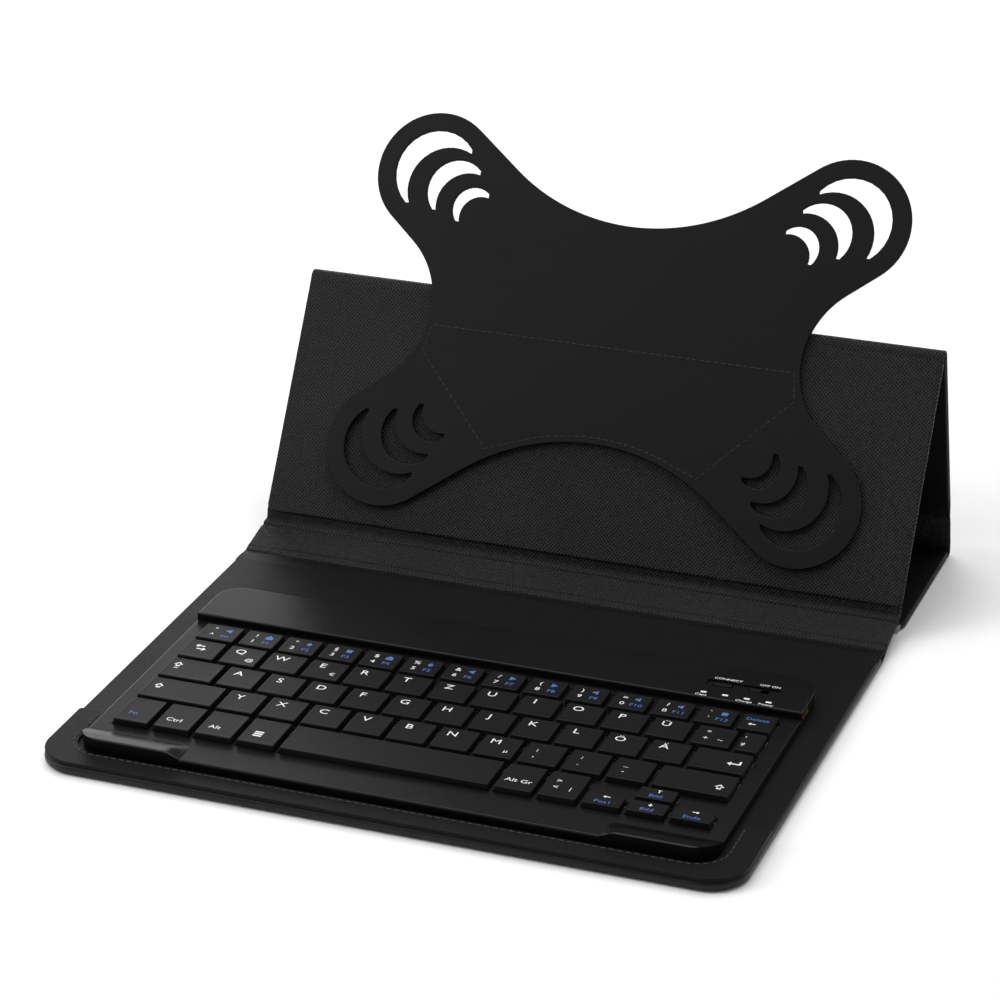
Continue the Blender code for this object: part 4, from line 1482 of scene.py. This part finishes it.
    def leg_bends(self) -> tuple[Bend, ...]:
        """Cloth and its backing, from the leg on to the closure strip.

        Returns:
            Both strips.
        """
        leg, length = self.layout.leg()
        closure, _ = self.layout.closure()
        near, far = leg.metres(length - 2.2, -self.layout.panel / 2), closure.metres(2.4)
        cloth = (*leg.run(length, (-6.0, -0.55), (-3.4, -0.55), (-1.2, -0.9)),
                 *closure.run(0.0, (0.6, 0.15), (2.6, 0.1), (5.2, 0.1)))
        backing = (*leg.run(length, (-6.0, -2.45), (-3.4, -2.45), (-1.2, -2.2)),
                   *closure.run(0.0, (0.6, -0.45), (2.6, -0.3), (5.2, -0.3)))
        return (Bend("leg_bend_cloth", "leg_panel", "closure_strip", cloth, 0.9, PALETTE.grained,
                     near, far),
                Bend("leg_bend_backing", "leg_panel", "closure_strip", backing, 0.7, PALETTE.cover,
                     near, far, "cover"))

    def flap_bend(self) -> Bend:
        """Cloth from the closure strip down on to the flap.

        Returns:
            The strip.
        """
        closure, length = self.layout.closure()
        flap, _ = self.layout.flap()
        turn = ((-0.35, -0.35), (-1.5, -0.95), (-3.2, -1.08), (-5.0, -1.02))
        cloth = (*closure.run(length, (-5.2, 0.25), (-3.4, 0.3), (-1.6, 0.2)),
                 *((flap.y + y, flap.z + z) for y, z in turn))
        return Bend("flap_bend_cloth", "closure_strip", "closure_flap", cloth, 0.8, PALETTE.grained,
                    closure.metres(length - 1.7), (0.0, (flap.y - 2.0) * MM, flap.z * MM))

    def build(self) -> None:
        """Makes every hinge cloth of the case."""
        width = self.layout.box("base_skin")[1].x - self.side_gap
        for spec in (*self.base_bends(), *self.display_bends(), *self.fold_bends(), *self.leg_bends(),
                     self.flap_bend()):
            self.bend(spec, width)


@dataclass(kw_only=True)
class TabletHolder(Assembly):
    """Stretch sheet sewn to the display panel, with three crescent slots in each ear."""

    centre: float = 95.0             # from the display panel's lower crease
    low: float = 0.3
    high: float = 2.1
    rim: float = 0.42
    ear_x: float = 88.0
    ear_y: float = 57.3
    ear_r: float = 25.5
    scoop_y: float = 133.0
    scoop_r: float = 88.0
    waist_x: float = 115.0
    waist_r: float = 36.0
    # chord centre x and y, half chord, outer rise and inner rise of each slot
    slots: tuple[tuple[float, ...], ...] = (
        (86.6, 56.2, 17.6, 19.6, 10.6), (77.8, 51.2, 12.8, 12.6, 5.4), (69.6, 44.8, 8.9, 8.3, 3.3))
    tip: float = 1.1
    seam_top: float = 89.5
    seam_half: float = 77.0
    seam_inset: float = 2.6

    def belt(self, circles: Sequence[tuple[float, float, float, int]]) -> Outline:
        """Wraps an outline round a ring of circles.

        Args:
            circles: x, y, radius and side of each, where side 1 bulges out and -1 scoops in.

        Returns:
            The outline, counter-clockwise.
        """
        headings = []
        for (x0, y0, r0, s0), (x1, y1, r1, s1) in zip(circles, [*circles[1:], circles[0]]):
            along = Vector((x1 - x0, y1 - y0))
            tilt = math.asin((s0 * r0 - s1 * r1) / along.length)
            headings.append(math.atan2(along.y, along.x) - math.pi / 2 + tilt)
        points: Outline = []
        for index, (x, y, radius, side) in enumerate(circles):
            start, end = headings[index - 1], headings[index]
            turn = (end - start) % (2 * math.pi) if side > 0 else -((start - end) % (2 * math.pi))
            start += 0 if side > 0 else math.pi
            steps = max(8, round(abs(turn) * radius / 2.5))
            points += arc(x, y, radius, math.degrees(start), math.degrees(start + turn), steps)
        return points

    def outline(self) -> Outline:
        """Spider shape about the holder's own centre."""
        x, y, r, waist, scoop = self.ear_x, self.ear_y, self.ear_r, self.waist_x, self.scoop_y
        return self.belt([(x, -y, r, 1), (waist, 0, self.waist_r, -1), (x, y, r, 1),
                          (0, scoop, self.scoop_r, -1), (-x, y, r, 1), (-waist, 0, self.waist_r, -1),
                          (-x, -y, r, 1), (0, -scoop, self.scoop_r, -1)])

    def bow(self, rise: float, half: float, steps: int = 16) -> Outline:
        """A shallow arc on a chord of that half length.

        Args:
            rise: how far it bulges.
            half: half its chord.
            steps: steps along it.

        Returns:
            Its points, about the middle of the chord.
        """
        radius = (half * half + rise * rise) / (2 * rise)
        reach = math.degrees(math.atan2(half, radius - rise))
        return arc(rise - radius, 0, radius, -reach, reach, steps)

    def crescent(self, cx: float, cy: float, half: float, outer_rise: float, inner_rise: float) -> Outline:
        """Crescent with blunt tips, bulging towards the ear's corner.

        Args:
            cx: middle of its chord along x.
            cy: middle of its chord along y.
            half: half its chord.
            outer_rise: bulge of its outer edge.
            inner_rise: bulge of its inner edge.

        Returns:
            Its outline.
        """
        outer = self.bow(outer_rise, half)
        inner = [(x - self.tip, y) for x, y in reversed(self.bow(inner_rise + self.tip, half - self.tip))]
        turn = math.radians(45)
        return [(cx + x * math.cos(turn) - y * math.sin(turn), cy + x * math.sin(turn) + y * math.cos(turn))
                for x, y in outer + inner]

    def build(self) -> None:
        """Cuts the sheet, rounds its rims and sews it on."""
        display, _ = self.layout.display()
        curve = bpy.data.curves.new("holder_cut", "CURVE")
        curve.dimensions, curve.fill_mode = "2D", "BOTH"
        curve.extrude = (self.high - self.low) / 2 - self.rim
        curve.bevel_depth, curve.bevel_resolution, curve.offset = self.rim, 3, -self.rim
        cuts = [self.outline()]
        for sx in (1, -1):
            for sy in (1, -1):
                for slot in self.slots:
                    ring = [(sx * x, sy * y) for x, y in self.crescent(*slot)]
                    cuts.append(ring if sx * sy > 0 else ring[::-1])
        for cut in cuts:
            spline = curve.splines.new("POLY")
            spline.points.add(len(cut) - 1)
            for point, (x, y) in zip(spline.points, cut):
                point.co = (x, y, 0, 1)
            spline.use_cyclic_u = True
        holder = bpy.data.objects.new("holder_cut", curve)
        flat = bpy.data.meshes.new_from_object(holder)
        bpy.data.objects.remove(holder)
        bpy.data.curves.remove(curve)
        bm = bmesh.new()
        bm.from_mesh(flat)
        bpy.data.meshes.remove(flat)
        bmesh.ops.remove_doubles(bm, verts=bm.verts, dist=0.001)
        bmesh.ops.translate(bm, verts=bm.verts, vec=(0, self.centre, (self.low + self.high) / 2))
        made = self.piece("tablet_holder_sheet", bm, display, [PALETTE.holder], smooth=50)
        weigh = made.modifiers.new("flat_faces", "WEIGHTED_NORMAL")
        weigh.keep_sharp, weigh.weight = True, 90
        self.settle(made, "display_panel", "holder", "tablet_holder")
        cut = area_of(cuts[0]) - sum(area_of(ring) for ring in cuts[1:])

        bm = bmesh.new()
        Stitching(length=2.2, pitch=3.0, thickness=0.34, sunk=0.08).sew(bm, self.seam(), self.high)
        seam = self.piece("tablet_holder_stitches", bm, display, [PALETTE.dark_thread])
        self.settle(seam, "display_panel", "holder")

    def seam(self) -> Outline:
        """Closed seam: along the panel's top, down the waists and round the lower scoop.

        Returns:
            The path, in the display panel's plane.
        """
        bottom = [(x, self.centre - self.scoop_y + y) for x, y in
                  arc(0, 0, self.scoop_r + self.seam_inset, 112, 68, 18)]
        right = [(45.0, 42.0), (79.0, 78.0), (self.seam_half, self.seam_top)]
        left = [(-x, s) for x, s in reversed(right)]
        return left + bottom + right + [left[0]]


# ---------------------------------------------------------------- setting
@dataclass(frozen=True)
class Softbox:
    """A large soft lamp: where it stands, what it faces, its sides and its power in watts."""

    name: str
    place: tuple[float, float, float]
    aim: tuple[float, float, float]
    sides: tuple[float, float]
    power: float

    def set_up(self) -> None:
        """Adds the lamp, in metres."""
        lamp = bpy.data.lights.new(self.name, "AREA")
        lamp.shape, lamp.size, lamp.size_y, lamp.energy = "RECTANGLE", *self.sides, self.power
        stand = bpy.data.objects.new(self.name, lamp)
        stand.location = self.place
        stand.rotation_euler = (Vector(self.aim) - Vector(self.place)).to_track_quat("-Z", "Y").to_euler()
        bpy.context.scene.collection.objects.link(stand)


@dataclass(frozen=True)
class Studio:
    """Plain pale floor, soft light and the camera, in metres and degrees."""

    lens: float = 129.5              # millimetres
    camera_place: tuple[float, float, float] = (0.43935, -1.16566, 0.63383)
    yaw: float = 21.023
    pitch: float = 24.600
    roll: float = -0.547
    floor_half: float = 6.0
    sky_strength: float = 0.35
    boxes: tuple[Softbox, ...] = (
        Softbox("overhead_softbox", (0.0, 0.6, 1.9), (0, 0.4, 0), (2.2, 1.6), 28.0),
        Softbox("left_softbox", (-1.1, -0.5, 0.9), (0, 0, 0.05), (0.7, 0.7), 8.0),
        Softbox("edge_striplight", (-0.62, -0.385, 1.7), (-0.62, 0.3, 0), (1.0, 0.10), 4.0),
        Softbox("backdrop_softbox", (-1.1, 2.0, 0.55), (0, 0, 0.0), (1.6, 0.8), 9.5))

    def build(self) -> None:
        """Sets up floor, lamps, sky and camera."""
        scene = bpy.context.scene
        scene.view_settings.view_transform = "Standard"
        for box in self.boxes:
            box.set_up()
        sky = bpy.data.worlds.new("studio_sky")
        sky.use_nodes = True
        sky.node_tree.nodes["Background"].inputs["Color"].default_value = (1, 1, 1, 1)
        sky.node_tree.nodes["Background"].inputs["Strength"].default_value = self.sky_strength
        scene.world = sky
        self.lay_floor()
        self.aim_camera()

    def lay_floor(self) -> None:
        """A wide pale sheet under the case."""
        reach = self.floor_half
        mesh = bpy.data.meshes.new("studio_floor")
        mesh.from_pydata([(-reach, -reach, 0), (reach, -reach, 0), (reach, reach, 0), (-reach, reach, 0)],
                         [], [(0, 1, 2, 3)])
        graph = NodeGraph("floor_paper")
        mottle = graph.noise(graph.place(Coordinates.SOLID), 40.0, 3.0)
        paper = graph.blend(mottle, (0.93, 0.93, 0.93), (0.96, 0.96, 0.96))
        mesh.materials.append(graph.finish(paper, 0.7))
        floor = bpy.data.objects.new("studio_floor", mesh)
        floor.location.z = -0.0002
        bpy.context.scene.collection.objects.link(floor)

    def aim_camera(self) -> None:
        """Looks down on the case from the front right with a long lens."""
        yaw, pitch, roll = (math.radians(a) for a in (self.yaw, self.pitch, self.roll))
        ahead = Vector((-math.sin(yaw) * math.cos(pitch), math.cos(yaw) * math.cos(pitch),
                        -math.sin(pitch)))
        level = Vector((math.cos(yaw), math.sin(yaw), 0))
        upright = level.cross(ahead)
        right = level * math.cos(roll) + upright * math.sin(roll)
        up = upright * math.cos(roll) - level * math.sin(roll)
        data = bpy.data.cameras.new("studio_camera")
        data.lens, data.sensor_width, data.clip_end = self.lens, 36.0, 30.0
        camera = bpy.data.objects.new("studio_camera", data)
        camera.matrix_world = Matrix((right, up, -ahead)).transposed().to_4x4()
        camera.location = self.camera_place
        bpy.context.scene.collection.objects.link(camera)
        bpy.context.scene.camera = camera


def main() -> None:
    """Builds the case from the table up and reports each piece."""
    logging.basicConfig(level=logging.INFO, format="%(message)s")
    layout = CaseLayout()
    spine, spine_length = layout.spine()
    display, display_length = layout.display()
    leg, leg_length = layout.leg()
    closure, closure_length = layout.closure()
    flap, flap_length = layout.flap()
    Studio().build()
    assemblies: list[Assembly] = [
        Base(layout=layout),
        Keyboard(layout=layout),
        Strip(layout=layout, node="spine_strip", body="spine", plane=spine, start=0.5,
              end=spine_length - 2.5, low=-2.0, high=-0.12),
        Panel(layout=layout, prefix="display", body="display_panel", plane=display, start=4.0,
              end=display_length - 0.5),
        Panel(layout=layout, prefix="leg", body="leg_panel", plane=leg, start=0.5, end=leg_length - 1.8),
        Strip(layout=layout, node="closure_strip", body="closure_strip", plane=closure, start=1.8,
              end=closure_length - 1.8, low=-0.7, high=0.7),
        Panel(layout=layout, prefix="flap", body="closure_flap", plane=flap, start=1.8, end=flap_length,
              top=1.5, far_corner=9.0),
        HingeCloth(layout=layout),
        TabletHolder(layout=layout)]
    for assembly in assemblies:
        assembly.build()
        assembly.report()
    for node in ("base_catch_plate", "display_catch_plate", "flap_magnet_left", "flap_magnet_right"):
        assemblies[0].dress(node, PALETTE.steel)


if __name__ == "__main__":
    main()
